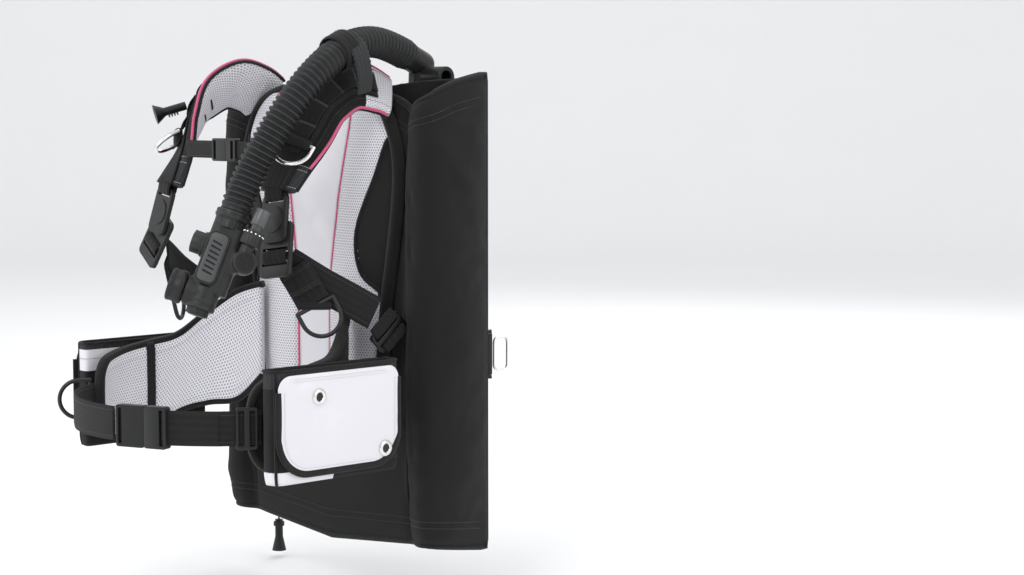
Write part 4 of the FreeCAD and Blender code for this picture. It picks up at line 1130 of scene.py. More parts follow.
def make_wing():
    """One crowned bladder cover: flat behind the pad, full lobes that sweep back at the sides."""
    dense = 10
    plan = catmull([Vector((x, y, 0)) for x, y in WING_PLAN], dense)
    numbers = [catmull([Vector((value, 0, 0)) for value in row], dense)
               for row in (WING_LOWS, WING_HIGHS, WING_THICK)]
    full = [(Vector((-p.x, p.y, 0)), lo.x, hi.x, th.x) for p, lo, hi, th in
            reversed(list(zip(plan, *numbers))[1:])]
    full += [(p, lo.x, hi.x, th.x) for p, lo, hi, th in zip(plan, *numbers)]
    count = len(full)
    along = 72
    columns = []
    depths = []
    for i, (point, low, high, thick) in enumerate(full):
        before = full[max(i - 1, 0)][0]
        after = full[min(i + 1, count - 1)][0]
        heading = (after - before).normalized()
        normal = Vector((heading.y, -heading.x, 0))
        rim = min(1.0, min(i, count - 1 - i) / 7)
        lobe = max(0.0, min(1.0, (abs(point.x) - 118) / 50))
        column = []
        row = []
        for j in range(along):
            share = j / (along - 1)
            z = low + 2 + (high - low - 4) * share
            edge = min(1.0, min(share, 1 - share) * along / 7)
            full_share = math.sqrt(max(0.0, 1 - (1 - rim) ** 2)) * math.sqrt(max(0.0, 1 - (1 - edge) ** 2))
            wrinkle = fluff((point.x * 0.6, point.y, z * 1.5), 0.03, 3.2) * lobe
            wrinkle += fluff((point.x, point.y, z), 0.09, 0.9) * lobe
            half = 3.0 + (thick / 2 - 2.4 + lobe * 3.4) * full_share
            half += wrinkle * full_share
            column.append((mm(point.x, point.y, z) + normal * half / 1000, normal))
            row.append(2 * half / 1000)
        columns.append(column)
        depths.append(row)
    wing, rim_line = slab("wing", columns, [BLACK_CLOTH], lambda i, j: depths[i][j],
                          body="vest", slot="fabric_black", replaces=("wing_shell",))
    pins = []
    for i in range(count):
        for j in range(along):
            if abs(columns[i][j][0].x) < 0.138 or i < 3 or i > count - 4 or j < 3 or j > along - 4:
                pins.extend((i * along + j, count * along + i * along + j))
    puff(wing, pins, 3.5, 0.004, 12)
    smooth_up(wing)
    middles = []
    outs = []
    for point in rim_line:
        best = min(full, key=lambda item: abs(item[0].x - point.x * 1000)
                   + abs(item[0].y - point.y * 1000) * 0.5)[0]
        middles.append(Vector((best.x / 1000, best.y / 1000, point.z)))
    centre = mm(0, -90, 65)
    for point in middles:
        out = point - centre
        out.y *= 0.6
        outs.append(out.normalized())
    thin = []
    thin_outs = []
    for point, out in zip(middles, outs):
        if not thin or (point - thin[-1]).length > 0.004:
            thin.append(point)
            thin_outs.append(out)
    oval_tube("wing_binding", thin, thin_outs, 8.0, 8.0, BINDING, count=10, shut=True,
              body="vest", slot="fabric_black")
    threads = []
    for sign in (1, -1):
        for inset in (10, 13):
            line = []
            for i in range(4, count - 4):
                low, high = full[i][1], full[i][2]
                j = along - 1 - inset // 3 if sign > 0 else inset // 3
                point = wing.data.vertices[i * along + j].co
                if low < high:
                    line.append(point + Vector((0, -0.0006, 0)))
            threads.append(line)
    stitches("wing_stitches", threads, THREAD_DARK, pitch=3.6, length=2.4, body="vest",
             slot="fabric_black")
    return full


wing_plan = make_wing()


def make_rear_panels():
    """Sewn panels behind the shoulders that carry the inflator elbow and close the wing's top."""
    for side in (1, -1):
        plan = catmull([mirror(p, side) for p in ((70, -93.6, 0), (142, -89.6, 0), (170, -71.6, 0),
                                                  (184, -43.6, 0))], 8)
        lows = [p.x for p in catmull([Vector((v, 0, 0)) for v in (250, 250, 240, 230)], 8)]
        highs = [p.x for p in catmull([Vector((v, 0, 0)) for v in (326, 334, 336, 340)], 8)]
        columns = []
        for i, point in enumerate(plan):
            heading = (plan[min(i + 1, len(plan) - 1)] - plan[max(i - 1, 0)]).normalized()
            normal = Vector((-heading.y, heading.x, 0)) * side
            column = []
            for j in range(25):
                share = j / 24
                z = lows[i] + (highs[i] - lows[i]) * share
                puffed = 2.6 * math.sin(math.pi * share) ** 0.5 * math.sin(math.pi * i / (len(plan) - 1)) ** 0.5
                puffed += fluff((point.x, point.y, z), 0.05, 1.2)
                column.append((mm(point.x, point.y, z) + normal * (4 + puffed) / 1000, normal))
            columns.append(column)
        panel, rim = slab(side_name("rear_panel", side), columns, [BLACK_CLOTH],
                          lambda i, j: 0.008, body="vest", slot="fabric_black")
        smooth_up(panel)


make_rear_panels()


# ---------------------------------------------------------------- waist loop

def waist_point(angle, inset=0.0, z=-40.0):
    turn = math.radians(angle)
    return Vector(((170 - inset) * math.cos(turn), -282.2 + (152 - inset) * math.sin(turn), z))


BAND_STATIONS = ((62, 130, 20), (50, 120, -10), (36, 95, -15), (22, 68, -24), (8, 60, -46),
                 (-6, 54, -50), (-17, 47, -46), (-24, 38, -36))


WAIST_JOIN = 36


def make_waistband(side):
    """Padded band: air mesh towards the wearer, cordura outside, thick binding round its edge."""
    rows = catmull([Vector(station) for station in BAND_STATIONS], 9)
    count = len(rows)
    along = 33
    columns = []
    for i, row in enumerate(rows):
        centre = waist_point(row.x, 7.85)
        after = waist_point(row.x - 1, 7.85)
        heading = (after - centre).normalized()
        normal = mirror(Vector((heading.y, -heading.x, 0)), side)
        if normal.dot(mirror(centre, side) - Vector((0, -282, -40))) > 0:
            normal = -normal
        rim = min(1.0, min(i, count - 1 - i) / 5)
        low, high = -40 + row.z, -40 + row.y
        end = min(1.0, (count - 1 - i) / 8)
        squeeze = (1 - math.sqrt(max(0.0, 1 - (1 - end) ** 2))) * 0.36 * (high - low)
        low, high = low + squeeze, high - squeeze
        column = []
        for j in range(along):
            share = j / (along - 1)
            edge = min(1.0, min(share, 1 - share) * along / 5)
            swell = math.sqrt(max(0.0, 1 - (1 - min(rim, edge)) ** 2))
            z = low + (high - low) * share
            depth = 4.0 + 3.6 * swell + fluff((centre.x, centre.y, z), 0.05, 0.8) * swell
            column.append((mm(mirror((centre.x, centre.y, z), side)) + normal * depth / 1000, normal))
        columns.append(column)

    def paint(i, j, rear):
        return 1 if rear else 0

    band, rim_line = slab(side_name("waist_padding", side), columns, [WHITE_MESH, BLACK_CLOTH],
                          lambda i, j: 0.0105, paint, body="vest", slot="mesh_white",
                          replaces=(side_name("waistband", side),))
    pins = []
    for i in range(count):
        for j in range(along):
            if i < 2 or j < 2 or i > count - 3 or j > along - 3:
                pins.append(i * along + j)
    pins.extend(range(count * along, 2 * count * along))
    puff(band, pins, 4.0, 0.003, 10)
    smooth_up(band)
    centre = sum(rim_line, Vector()) / len(rim_line)
    rim_line = rim_line[:2 * count + along - 2]
    middles = []
    outs = []
    for k, point in enumerate(rim_line):
        near = min(range(count), key=lambda i: (columns[i][0][0].xy - point.xy).length)
        normal = columns[near][0][1]
        middles.append(point - normal * 0.0040)
        before = rim_line[max(k - 1, 0)]
        after = rim_line[min(k + 1, len(rim_line) - 1)]
        out = (after - before).cross(normal).normalized()
        if out.dot(point - centre) < 0:
            out = -out
        outs.append(out)
    oval_tube(side_name("waist_binding", side), middles, outs, 13.0, 8.5, BINDING, shut=False,
              body="vest", slot="fabric_black")
    # the band is two pads: bound edges meet across it
    for shift in (0, 1):
        column = WAIST_JOIN + shift
        edge = [band.data.vertices[column * along + j].co - columns[column][j][1] * 0.0008
                for j in range(along)]
        tube("%s_%d" % (side_name("waist_join", side), shift), edge, 0.0040, BINDING, count=10,
             body="vest", slot="fabric_black")
    threads = []
    for inset in (0.10, 0.90):
        threads.append([band.data.vertices[i * along + int(inset * (along - 1))].co
                        + columns[i][0][1] * 0.0004 for i in range(3, count - 3)])
    stitches(side_name("waist_stitches", side), threads, THREAD_WHITE, pitch=3.2, length=2.1,
             body="vest", slot="fabric_white")


for side in (1, -1):
    make_waistband(side)


def belt_run(name, start, end, replaced, lift=0.0, thickness=2.6, steps=40, **where):
    points = []
    acrosses = []
    for step in range(steps + 1):
        angle = start + (end - start) * step / steps
        point = waist_point(angle, -lift)
        point.z += fluff((angle, 0, 0), 0.06, 0.5)
        points.append(mm(point))
        acrosses.append(Vector((0, 0, 1)))
    rings = ribbon_rings(points, acrosses, [0.038] * len(points), thickness / 1000, sides=8)
    made = build(name, rings, ring_uvs(rings), [WEBBING], body="vest", slot="webbing",
                 replaces=replaced)
    threads = [face_line(rings, index, 0.2) for index in (1, 7, 10, 16)]
    stitches(name + "_stitches", threads, THREAD_DARK, pitch=2.8, length=1.9, radius=0.28,
             body="vest", slot="webbing")
    return made


belt_run("belt_webbing_right", -81.6, -172, ("belt_right",), steps=90)
belt_run("belt_webbing_left", -20, -37.5, ("belt_left",), steps=24)


def clip_webbing(name, start, end, width, thickness, body_a, body_b, bow, **where):
    """Webbing between a fixed piece and a sliding clip, drawn with a slight bow."""
    count = 26
    points = []
    for k in range(count):
        share = k / (count - 1)
        point = Vector(start).lerp(Vector(end), share)
        points.append(mm(point + Vector(bow) * math.sin(math.pi * share)))
    rings = ribbon_rings(points, [Vector((0, 0, 1))] * count, [width / 1000] * count,
                         thickness / 1000, sides=8)
    made = build(name, rings, ring_uvs(rings), [WEBBING], body=None, slot="webbing")
    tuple(points[0])
    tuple(points[-1])
    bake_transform(made)
    return made


belt_end = waist_point(-36.6)
clip_webbing("belt_webbing_middle", (88, -413.8, -40), (belt_end.x + 0.4, belt_end.y - 0.6, -40),
             38, 2.6, "belt_clip", "vest", (1.5, -1.2, 0))
clip_webbing("chest_webbing_left", (22, -263.6, 255.3), (43, -263.6, 255.3), 20, 2.2,
             "chest_clip", "vest", (0, -0.2, 0))


def straight_webbing(name, start, end, width, thickness, replaced):
    count = 18
    points = [mm(Vector(start).lerp(Vector(end), k / (count - 1))) for k in range(count)]
    rings = ribbon_rings(points, [Vector((0, 0, 1))] * count, [width / 1000] * count,
                         thickness / 1000, sides=8)
    build(name, rings, ring_uvs(rings), [WEBBING], body="vest", slot="webbing", replaces=replaced)
    threads = [face_line(rings, index, 0.2) for index in (1, 7, 10, 16)]
    stitches(name + "_stitches", threads, THREAD_DARK, pitch=2.4, length=1.6, radius=0.25,
             body="vest", slot="webbing")


straight_webbing("chest_webbing_right", (-76, -262.4, 255.3), (-15, -263.8, 255.3), 20, 2.2,
                 ("chest_strap_right",))
straight_webbing("chest_webbing_end", (41.5, -263.8, 255.3), (77, -262.4, 255.3), 20, 2.2,
                 ("chest_strap_left",))


# ---------------------------------------------------------------- pockets

def pocket_section(side, lean, z):
    """Outline of the pocket at a height, as (x, y) round it, from its inner rear corner."""
    front = 14
    result = []
    inner, outer = 173.0, 196.6
    rear_y, front_y = -172.2, -343.6
    corners = ((inner, rear_y, 2.5), (outer, rear_y, 5), (outer, front_y, front), (inner, front_y, 5))
    for k, (x, y, radius) in enumerate(corners):
        sx = 1 if x == inner else -1
        sy = -1 if y == rear_y else 1
        middle = (x + sx * radius, y + sy * radius)
        first = {(1, -1): 180, (-1, -1): 90, (-1, 1): 0, (1, 1): -90}[(sx, sy)]
        for step in range(5):
            turn = math.radians(first - 22.5 * step)
            result.append((middle[0] + radius * math.cos(turn), middle[1] + radius * math.sin(turn)))
    return result


def make_pocket(side):
    rings = []
    total = 34
    for j in range(total + 1):
        share = j / total
        z = -99.5 + 123 * share
        outline = []
        raw = pocket_section(side, 0, z)
        dense = []
        for a, b in zip(raw, raw[1:] + raw[:1]):
            span = math.hypot(b[0] - a[0], b[1] - a[1])
            pieces = max(1, int(span / 7))
            dense.extend((a[0] + (b[0] - a[0]) * k / pieces, a[1] + (b[1] - a[1]) * k / pieces)
                         for k in range(pieces))
        for x, y in dense:
            swell = 1.4 * math.sin(math.pi * share) ** 0.5 * (1 if x > 185 else 0.0)
            ripple = fluff((x, y, z), 0.045, 1.6) * math.sin(math.pi * share) ** 0.6
            grow = swell + ripple if x > 176 else 0.0
            pull = 2.2 * max(0.0, 1 - share * 9) ** 2
            cx, cy = 185, -258
            dx, dy = (x - cx) / 12, (y - cy) / 86
            size = math.hypot(dx, dy) or 1
            outline.append(mm(side * (x + grow * (dx / size) * (abs(dx) > 0.8) - pull * dx / size),
                              y - pull * dy / size - grow * 0.6 * (dy < -0.95), z))
        if side < 0:
            outline.reverse()
        rings.append(outline)
    inner = []
    for ring in reversed(rings[2:]):
        centre = sum(ring, Vector()) / len(ring)
        inner.append([point + Vector(((centre.x - point.x) * 0.20, (centre.y - point.y) * 0.03, 0.001))
                      for point in ring])
    whole = rings + inner

    def paint(i, j):
        if side < 0 and total - 9 <= i < total - 2:
            return 2
        if total - 5 <= i < total:
            return 1
        return 2 if side > 0 and i < 4 and rings[0][j].y < -0.262 else 0

    made = build(side_name("pocket_bag", side), whole, ring_uvs(whole),
                 [BLACK_CLOTH, GREY_TAPE, WHITE_CLOTH], paint, body="vest", slot="fabric_black",
                 replaces=(side_name("pocket", side),))
    lines = []
    for row in (4, total - 5, total - 1):
        ring = rings[row]
        centre = sum(ring, Vector()) / len(ring)
        line = [point + (point - centre).normalized() * 0.0005 for point in ring]
        lines.append(line + line[:1])
    stitches(side_name("pocket_stitches", side), lines[:2], THREAD_DARK, pitch=3.2, length=2.2,
             body="vest", slot="fabric_black")
    lip = rings[total] + rings[total][:1]
    tube(side_name("pocket_lip", side), lip[:-1], 0.0017, BINDING, count=8, body="vest",
         slot="fabric_black")
    corner = []
    for ring in rings:
        best = min(ring, key=lambda point: abs(point.y * 1000 + 341) + abs(abs(point.x) * 1000 - 192))
        corner.append(best + mm(side * 0.3, -0.5, 0))
    tube(side_name("pocket_corner_piping", side), corner, 0.0017, BINDING, count=8, body="vest",
         slot="fabric_black")


FLAP_CORNERS = (34, 40, 12, 16)
GROMMETS = ((-286.64, -7), (-194.16, -73))


def flap_reach(y):
    """Lower and upper edge of the flap at a place along it."""
    rear_low, front_low, rear_high, front_high = FLAP_CORNERS
    ahead, behind = y + 340.5, -175.5 - y
    edges = []
    for near_radius, far_radius in ((front_low, rear_low), (front_high, rear_high)):
        drop = 0.0
        for gap, radius in ((ahead, near_radius), (behind, far_radius)):
            inside = max(0.0, radius - max(0.0, gap))
            drop = max(drop, radius - math.sqrt(max(0.0, radius * radius - inside * inside)))
        edges.append(drop)
    return -89.2 + edges[0], 19.0 - edges[1]


def make_flap(side):
    body = side_name("flap", side)
    count = 90
    rows = 44
    columns = []
    for i in range(count):
        y = -258 - 82.5 * math.cos(math.pi * i / (count - 1))
        low, high = flap_reach(y)
        column = []
        for j in range(rows):
            share = j / (rows - 1)
            z = low + (high - low) * share
            rim = min(1.0, min(i, count - 1 - i) / 5, min(j, rows - 1 - j) / 5)
            bulge = 0.9 * math.sqrt(max(0.0, 1 - (1 - rim) ** 2)) + fluff((y, z, 0), 0.03, 0.5) * rim
            x = 200.6 + bulge
            for gy, gz in GROMMETS:
                near = math.hypot(y - gy, z - gz)
                x -= (0.5 + bulge) * min(1.0, max(0.0, 1.6 - near / 13))
            column.append((mm(side * x, y, z), Vector((side, 0, 0))))
        columns.append(column)

    def paint(i, j, rear):
        return 1 if rear else 0

    if side < 0:
        columns.reverse()
    flap, rim_line = slab(side_name("flap_cloth", side), columns, [WHITE_CLOTH, BLACK_CLOTH],
                          lambda i, j: 0.0026, paint, body=body, slot="fabric_white",
                          replaces=(side_name("pocket_flap", side),))
    pins = []
    for i in range(count):
        for j in range(rows):
            point = columns[i][j][0] * 1000
            ring = min(math.hypot(point.y - gy, point.z - gz) for gy, gz in GROMMETS)
            if i < 2 or j < 2 or i > count - 3 or j > rows - 3 or ring < 11:
                pins.append(i * rows + j)
    pins.extend(range(count * rows, 2 * count * rows))
    puff(flap, pins, 2.0, 0.0016, 8)
    smooth_up(flap)
    # the binding leaves the hinge edge bare, so the flap can fold back
    points = []
    for point in rim_line[2 - rows:] + rim_line[:count + rows - 1]:
        if point.z < 0.0165 and (not points or (point - points[-1]).length > 0.0022):
            points.append(mm(side * 199.9, point.y * 1000, point.z * 1000))
    centre = sum(points, Vector()) / len(points)
    outs = []
    for k, point in enumerate(points):
        along = points[min(k + 1, len(points) - 1)] - points[max(k - 1, 0)]
        out = along.cross(Vector((1, 0, 0))).normalized()
        outs.append(out if out.dot(point - centre) > 0 else -out)
    oval_tube(side_name("flap_binding", side), points, outs, 3.6, 8.5, BINDING, count=12,
              shut=False, body=body, slot="fabric_black")
    inside = []
    for point, out in zip(points, outs):
        inside.append(point - out * 0.0062 + Vector((side * 0.00235, 0, 0)))
    stitches(side_name("flap_stitches", side), [inside], THREAD_WHITE, pitch=3.0, length=2.0,
             radius=0.28, body=body, slot="fabric_white")
    hinge = [mm(side * 201.6, -322 + 2.0 * k, 14.5) for k in range(66)]
    stitches(side_name("flap_hinge_stitches", side), [hinge, [p + mm(0, 0, -3) for p in hinge]],
             THREAD_WHITE, pitch=2.8, length=1.9, radius=0.28, body=body, slot="fabric_white")
    for number, (y, z) in enumerate(GROMMETS):
        place = Matrix.Translation(mm(side * 200.4, y, z)) @ turned((side, 0, 0))
        name = "%s_%d" % (side_name("grommet_ring", side), number)
        lathe(name, ((4.6, -3.0), (4.6, 1.2), (5.2, 2.0), (6.4, 2.3), (7.9, 2.0), (9.0, 1.1),
                     (9.2, 0.2), (9.0, -3.0)), SILVER, place, 48, body=body, slot="metal_bright",
              replaces=(side_name("grommets", side),) if number == 0 else ())
        lathe(name + "_hole", ((0.1, 0.2), (4.5, 0.2), (4.6, 0.5), (0.1, 0.6)), PLASTIC_DARK, place,
              24, body=body, slot="metal_bright")


for side in (1, -1):
    make_pocket(side)
    make_flap(side)


# ---------------------------------------------------------------- rear: band and handle

def make_tank_band():
    radius = 93.5
    points = []
    for step in range(97):
        turn = math.radians(-43 + 266 * step / 96)
        points.append(Vector((radius * math.cos(turn), radius * math.sin(turn), 0)))
    ends = [points[-1], Vector((-79.5, -102.9, 0)), Vector((79.5, -102.9, 0)), points[0]]
    for a, b in zip(ends, ends[1:]):
        points.extend(a.lerp(b, k / 12) for k in range(1, 13 if b is not ends[-1] else 12))
    rings = []
    total = len(points)
    for i, point in enumerate(points):
        heading = (points[(i + 1) % total] - points[i - 1]).normalized()
        outward = Vector((heading.y, -heading.x, 0))
        ring = []
        for side in (-1, 1):
            face = [(-25 + 50 * k / 10, side * (1.4 if 0 < k < 10 else 0.9)) for k in range(11)]
            if side > 0:
                face.reverse()
            ring.extend(face)
        rings.append([mm(point + outward * y + Vector((0, 0, x))) for x, y in ring])
    rings.append([Vector(point) for point in rings[0]])
    band = build("tank_band_webbing", rings, ring_uvs(rings), [WEBBING], caps=False, body="vest",
                 slot="webbing", replaces=("tank_band",))
    weld(band, 0.00003)
    lines = [[ring[index] + (ring[16] - ring[5]).normalized() * 0.0002 for ring in rings[4:92]]
             for index in (13, 19)]
    stitches("tank_band_stitches", lines, THREAD_DARK, pitch=3.2, length=2.2, body="vest",
             slot="webbing")


make_tank_band()


def make_handle():
    points = [Vector((x, -100, 250 + z)) for x, z in
              ((-46, -18), (-46, 14), (-34, 40), (-14, 52), (14, 52), (34, 40), (46, 14), (46, -18))]
    lines = [mm(p) for p in catmull(points, 8)]
    rings = ribbon_rings(lines, [Vector((0, 1, 0))] * len(lines), [0.0065] * len(lines), 0.0052,
                         sides=8, rounded=0.4)
    build("handle_webbing", rings, ring_uvs(rings), [WEBBING], body="vest", slot="webbing",
          replaces=("carry_handle",))


make_handle()


# ---------------------------------------------------------------- hose

ROUTE = ((106, -75, 361), (113, -113, 375), (124, -157, 379), (133, -200, 368), (136, -238, 343),
         (132, -269, 309), (121, -292, 269), (109, -311, 229.5), (106.5, -328, 190))


def nurbs_line(points, count=260):
    """Points along an order-3 NURBS through end points, evenly spaced, with its length."""
    curve = bpy.data.curves.new("route", "CURVE")
    curve.dimensions = "3D"
    spline = curve.splines.new("NURBS")
    spline.points.add(len(points) - 1)
    for item, point in zip(spline.points, points):
        item.co = (*mm(point), 1)
    spline.order_u = 3
    spline.use_endpoint_u = True
    spline.resolution_u = 60
    holder = bpy.data.objects.new("route", curve)
    bpy.context.scene.collection.objects.link(holder)
    bpy.context.view_layer.update()
    data = bpy.data.meshes.new_from_object(
        holder.evaluated_get(bpy.context.evaluated_depsgraph_get()))
    raw = [vertex.co.copy() for vertex in data.vertices]
    bpy.data.objects.remove(holder)
    bpy.data.meshes.remove(data)
    travel = [0.0]
    for a, b in zip(raw, raw[1:]):
        travel.append(travel[-1] + (b - a).length)
    result = []
    k = 0
    for step in range(count):
        goal = travel[-1] * step / (count - 1)
        while k < len(raw) - 2 and travel[k + 1] < goal:
            k += 1
        share = (goal - travel[k]) / max(1e-9, travel[k + 1] - travel[k])
        result.append(raw[k].lerp(raw[k + 1], min(1.0, share)))
    return result, travel[-1]


def make_hose():
    _, length = nurbs_line(ROUTE, 2)
    pitch = 0.0066
    ribs = int(length / pitch)
    steps = 8
    line, length = nurbs_line(ROUTE, ribs * steps + 1)
    rings = []
    side = Vector((1, 0, 0))
    for i, (point, direction) in enumerate(zip(line, tangents(line))):
        side = (side - direction * side.dot(direction)).normalized()
        other = direction.cross(side)
        phase = 2 * math.pi * i / steps
        crest = 0.5 + 0.5 * math.cos(phase)
        radius = 0.01475 + 0.00325 * crest ** 0.65
        near_end = min(i, len(line) - 1 - i) / (2.0 * steps)
        if near_end < 1:
            radius = 0.0158 + (radius - 0.0158) * near_end
        ring = []
        for k in range(40):
            turn = 2 * math.pi * k / 40
            ring.append(point + (side * math.cos(turn) + other * math.sin(turn)) * radius)
        rings.append(ring)
    hose = build("hose", rings, ring_uvs(rings), [RUBBER], body="vest", slot="hose_rubber",
                 replaces=("corrugated_hose",))
    return hose, line, length


hose_piece, hose_line, hose_length = make_hose()


def along_hose(share):
    """Point and direction on the hose's middle line."""
    index = min(len(hose_line) - 2, max(1, int(share * (len(hose_line) - 1))))
    return hose_line[index], (hose_line[index + 1] - hose_line[index - 1]).normalized()


def make_keeper():
    """Strap round the hose on top of the shoulder, its ribbed end hanging free."""
    box_low, box_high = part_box("hose_keeper")
    centre = (Vector(box_low) + Vector(box_high)) / 2
    index = min(range(len(hose_line)), key=lambda k: (hose_line[k] - centre).length)
    middle, direction = along_hose(index / (len(hose_line) - 1))
    side = direction.cross(Vector((0, 0, 1))).normalized()
    up = side.cross(direction).normalized()
    rings = []
    total = 56
    for k in range(total + 1):
        turn = 2 * math.pi * k / total
        out = side * math.cos(turn) + up * math.sin(turn)
        base = middle + out * 0.0204
        ring = []
        for across, lift in ((-12, -0.9), (-12, 0.9), (-8, 1.3), (0, 1.5), (8, 1.3), (12, 0.9),
                             (12, -0.9), (0, -1.0)):
            ring.append(base + direction * (across / 1000) + out * (lift / 1000))
        rings.append(ring)
    keeper = build("keeper_loop", rings, ring_uvs(rings), [WEBBING], caps=False, body="vest",
                   slot="webbing", replaces=("hose_keeper",))
    weld(keeper, 0.00003)
    tail = catmull([mm(*p) for p in ((146, -193, 379), (154, -190, 367), (157.5, -187, 350),
                                     (157, -184, 334), (153, -182, 320))], 10)
    ribs = ribbon_rings(tail, [direction] * len(tail), [0.023] * len(tail), 0.0024, sides=8)
    for k, ring in enumerate(ribs):
        if k % 3 == 0 and k:
            middle_point = sum(ring, Vector()) / len(ring)
            ribs[k] = [middle_point + (point - middle_point) * 1.12 for point in ring]
    build("keeper_tail", ribs, ring_uvs(ribs), [GREY_TAPE], body="vest", slot="webbing")
    # stitching of the fastening
    lines = []
    for across in (-9, 9):
        line = []
        for k in range(40):
            turn = 2 * math.pi * k / 39
            out = side * math.cos(turn) + up * math.sin(turn)
            line.append(middle + out * 0.0221 + direction * (across / 1000))
        lines.append(line)
    stitches("keeper_stitches", lines, THREAD_DARK, pitch=2.6, length=1.8, radius=0.3, body="vest",
             slot="webbing")


make_keeper()


# ---------------------------------------------------------------- inflator

inflator_place = Matrix.Translation(mm(99.64, -374.65, 81.61)) @ Matrix((
    (-.64163, -.68896, .33712), (.7648, -.6079, .2132), (.05804, .39466, .91699)
)).transposed().to_4x4()


def local(place, x, y, z):
    """A frame at a place in the inflator, in millimetres, with the inflator's own axes."""
    return place @ Matrix.Translation(mm(x, y, z))


def make_inflator():
    where = {"body": "vest", "slot": "plastic_black"}
    bores = ((turned((1, 0, 0)), local(inflator_place, 0, 0, 74)),
             (turned((0, 0, -1)), local(inflator_place, 0, 0, 0)))
    sizes = (((0.1, 4.0), (5.6, 4.1), (5.6, 14.0), (13.0, 14.1), (13.0, 45), (0.1, 45.1)),
             ((0.1, -30), (5.6, -29.9), (5.6, -14), (13.0, -13.9), (13.0, 20), (0.1, 20.1)))
    cutters = [(place @ turn, profile) for (turn, place), profile in zip(bores, sizes)]
    case = moulding("inflator_case", "inflator_body", BODY_PLASTIC, cutters, 1.1, 5, **where)
    path = [tuple(point) for point in hose_line[:-1:6]] + [tuple(hose_line[-1])]
    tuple(path[0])
    # collar and flange with a raised lip each
    lathe("inflator_flange", ((16.0, 109.6), (18.6, 110.0), (19.3, 111.4), (19.3, 112.8),
                              (18.2, 113.6), (18.2, 114.8), (19.1, 115.4), (19.1, 116.9),
                              (18.0, 117.7), (15.5, 117.9)),
          BODY_PLASTIC, local(inflator_place, 0, 0, 0), 56, **where)
    lathe("inflator_collar", ((15.0, 97.6), (17.1, 98.2), (17.3, 100.0), (17.3, 107.5),
                              (16.6, 108.6), (15.0, 109.0)),
          PLASTIC, local(inflator_place, 0, 0, 0), 72, 18, 0.7, **where)
    lathe("inflator_tail", ((13.3, 5.4), (16.4, 5.8), (17.0, 7.4), (17.0, 10.6), (16.0, 12.0),
                            (16.7, 13.2), (16.7, 16.4), (15.6, 17.4), (13.3, 17.4), (13.3, 5.4)),
          BODY_PLASTIC, local(inflator_place, 0, 0, 0), 56, caps=False, **where)
    grille = local(inflator_place, -29, 2, 68) @ turned((-.12, 1, 0))
    lathe("valve_housing", ((11.8, 0.2), (13.0, 0.8), (13.2, 2.0), (13.2, 21.6), (12.9, 23.4),
                            (11.9, 24.5), (10.2, 24.7)), BODY_PLASTIC, grille, 48, **where)
    slots = []
    for k in range(-3, 4):
        x = k * 2.7
        half = math.sqrt(max(0.0, 81 - x * x))
        slots.append(rounded(1.15, 2 * half, 0.5, x, 0, 3))
    plate2d("valve_grille", [circle(10.6, count=36)] + slots, 1.2, 0.25, PLASTIC,
            grille @ Matrix.Translation(mm(0, 0, 25.2)), **where)
    lathe("valve_floor", ((0.3, 24.2), (9.9, 24.2), (10.0, 24.5), (0.3, 24.6)), PLASTIC_DARK,
          grille, 32, **where)


make_inflator()


def grip_detail():
    """Insert in the side of the grip: slanted slots in a rounded frame."""
    place = inflator_place @ Matrix.Translation(mm(3.5, 15.7, 62)) @ Matrix((
        (1, 0, 0), (0, 0, 1), (0, -1, 0))).to_4x4().transposed()
    slots = []
    for k in range(7):
        y = -17.5 + 5.6 * k
        slots.append([(-5.5, y - 1.6), (5.5, y + 0.5), (5.5, y + 2.4), (-5.5, y + 0.3)])
    plate2d("grip_insert", [rounded(19.6, 55, 6)] + slots, 2.0, 0.45, GREY_PLASTIC, place,
            body="vest", slot="plastic_grey", replaces=("inflator_grip",))
    plate2d("grip_frame", [rounded(23.5, 59.5, 8), rounded(20.4, 56, 6.2)], 1.6, 0.4, BODY_PLASTIC,
            place @ Matrix.Translation(mm(0, 0, -0.2)), body="vest", slot="plastic_black")


grip_detail()


def make_mouthpiece():
    place = inflator_place @ Matrix.Translation(mm(0, 0, 22)) @ turned((1, 0, 0))
    rings = []
    profile = ((12.4, 21.4), (12.4, 36.6), (13.2, 38.6), (15.4, 39.3), (17.7, 38.2), (18.1, 35.8),
               (17.0, 33.4), (17.2, 30.6), (18.2, 28.2), (18.2, 23.6), (17.0, 21.4))
    for radius, height in profile:
        ring = []
        for k in range(56):
            turn = 2 * math.pi * k / 56
            ring.append(place @ mm(radius * math.cos(turn) * 1.02,
                                   radius * math.sin(turn) * (0.96 if height > 30 else 1.0), height))
        rings.append(ring)
    rings.append([Vector(point) for point in rings[0]])
    piece = build("mouthpiece_rubber", rings, ring_uvs(rings), [RUBBER], caps=False, body="vest",
                  slot="mouth_rubber", replaces=("mouthpiece",))
    weld(piece, 0.00003)
    smooth_up(piece)
    lathe("mouth_floor", ((0.3, 21.5), (12.3, 21.4), (12.3, 22.2), (0.3, 23.0)), PLASTIC_DARK, place,
          36, body="vest", slot="plastic_black")
    for turn in (0, 60, 120):
        bar = [place @ mm(11.8 * math.cos(math.radians(turn)) * s,
                          11.8 * math.sin(math.radians(turn)) * s, 24.4) for s in
               [-1 + 0.2 * k for k in range(11)]]
        tube("mouth_bar_%d" % turn, bar, 0.0011, PLASTIC, count=8, body="vest",
             slot="plastic_black")


make_mouthpiece()


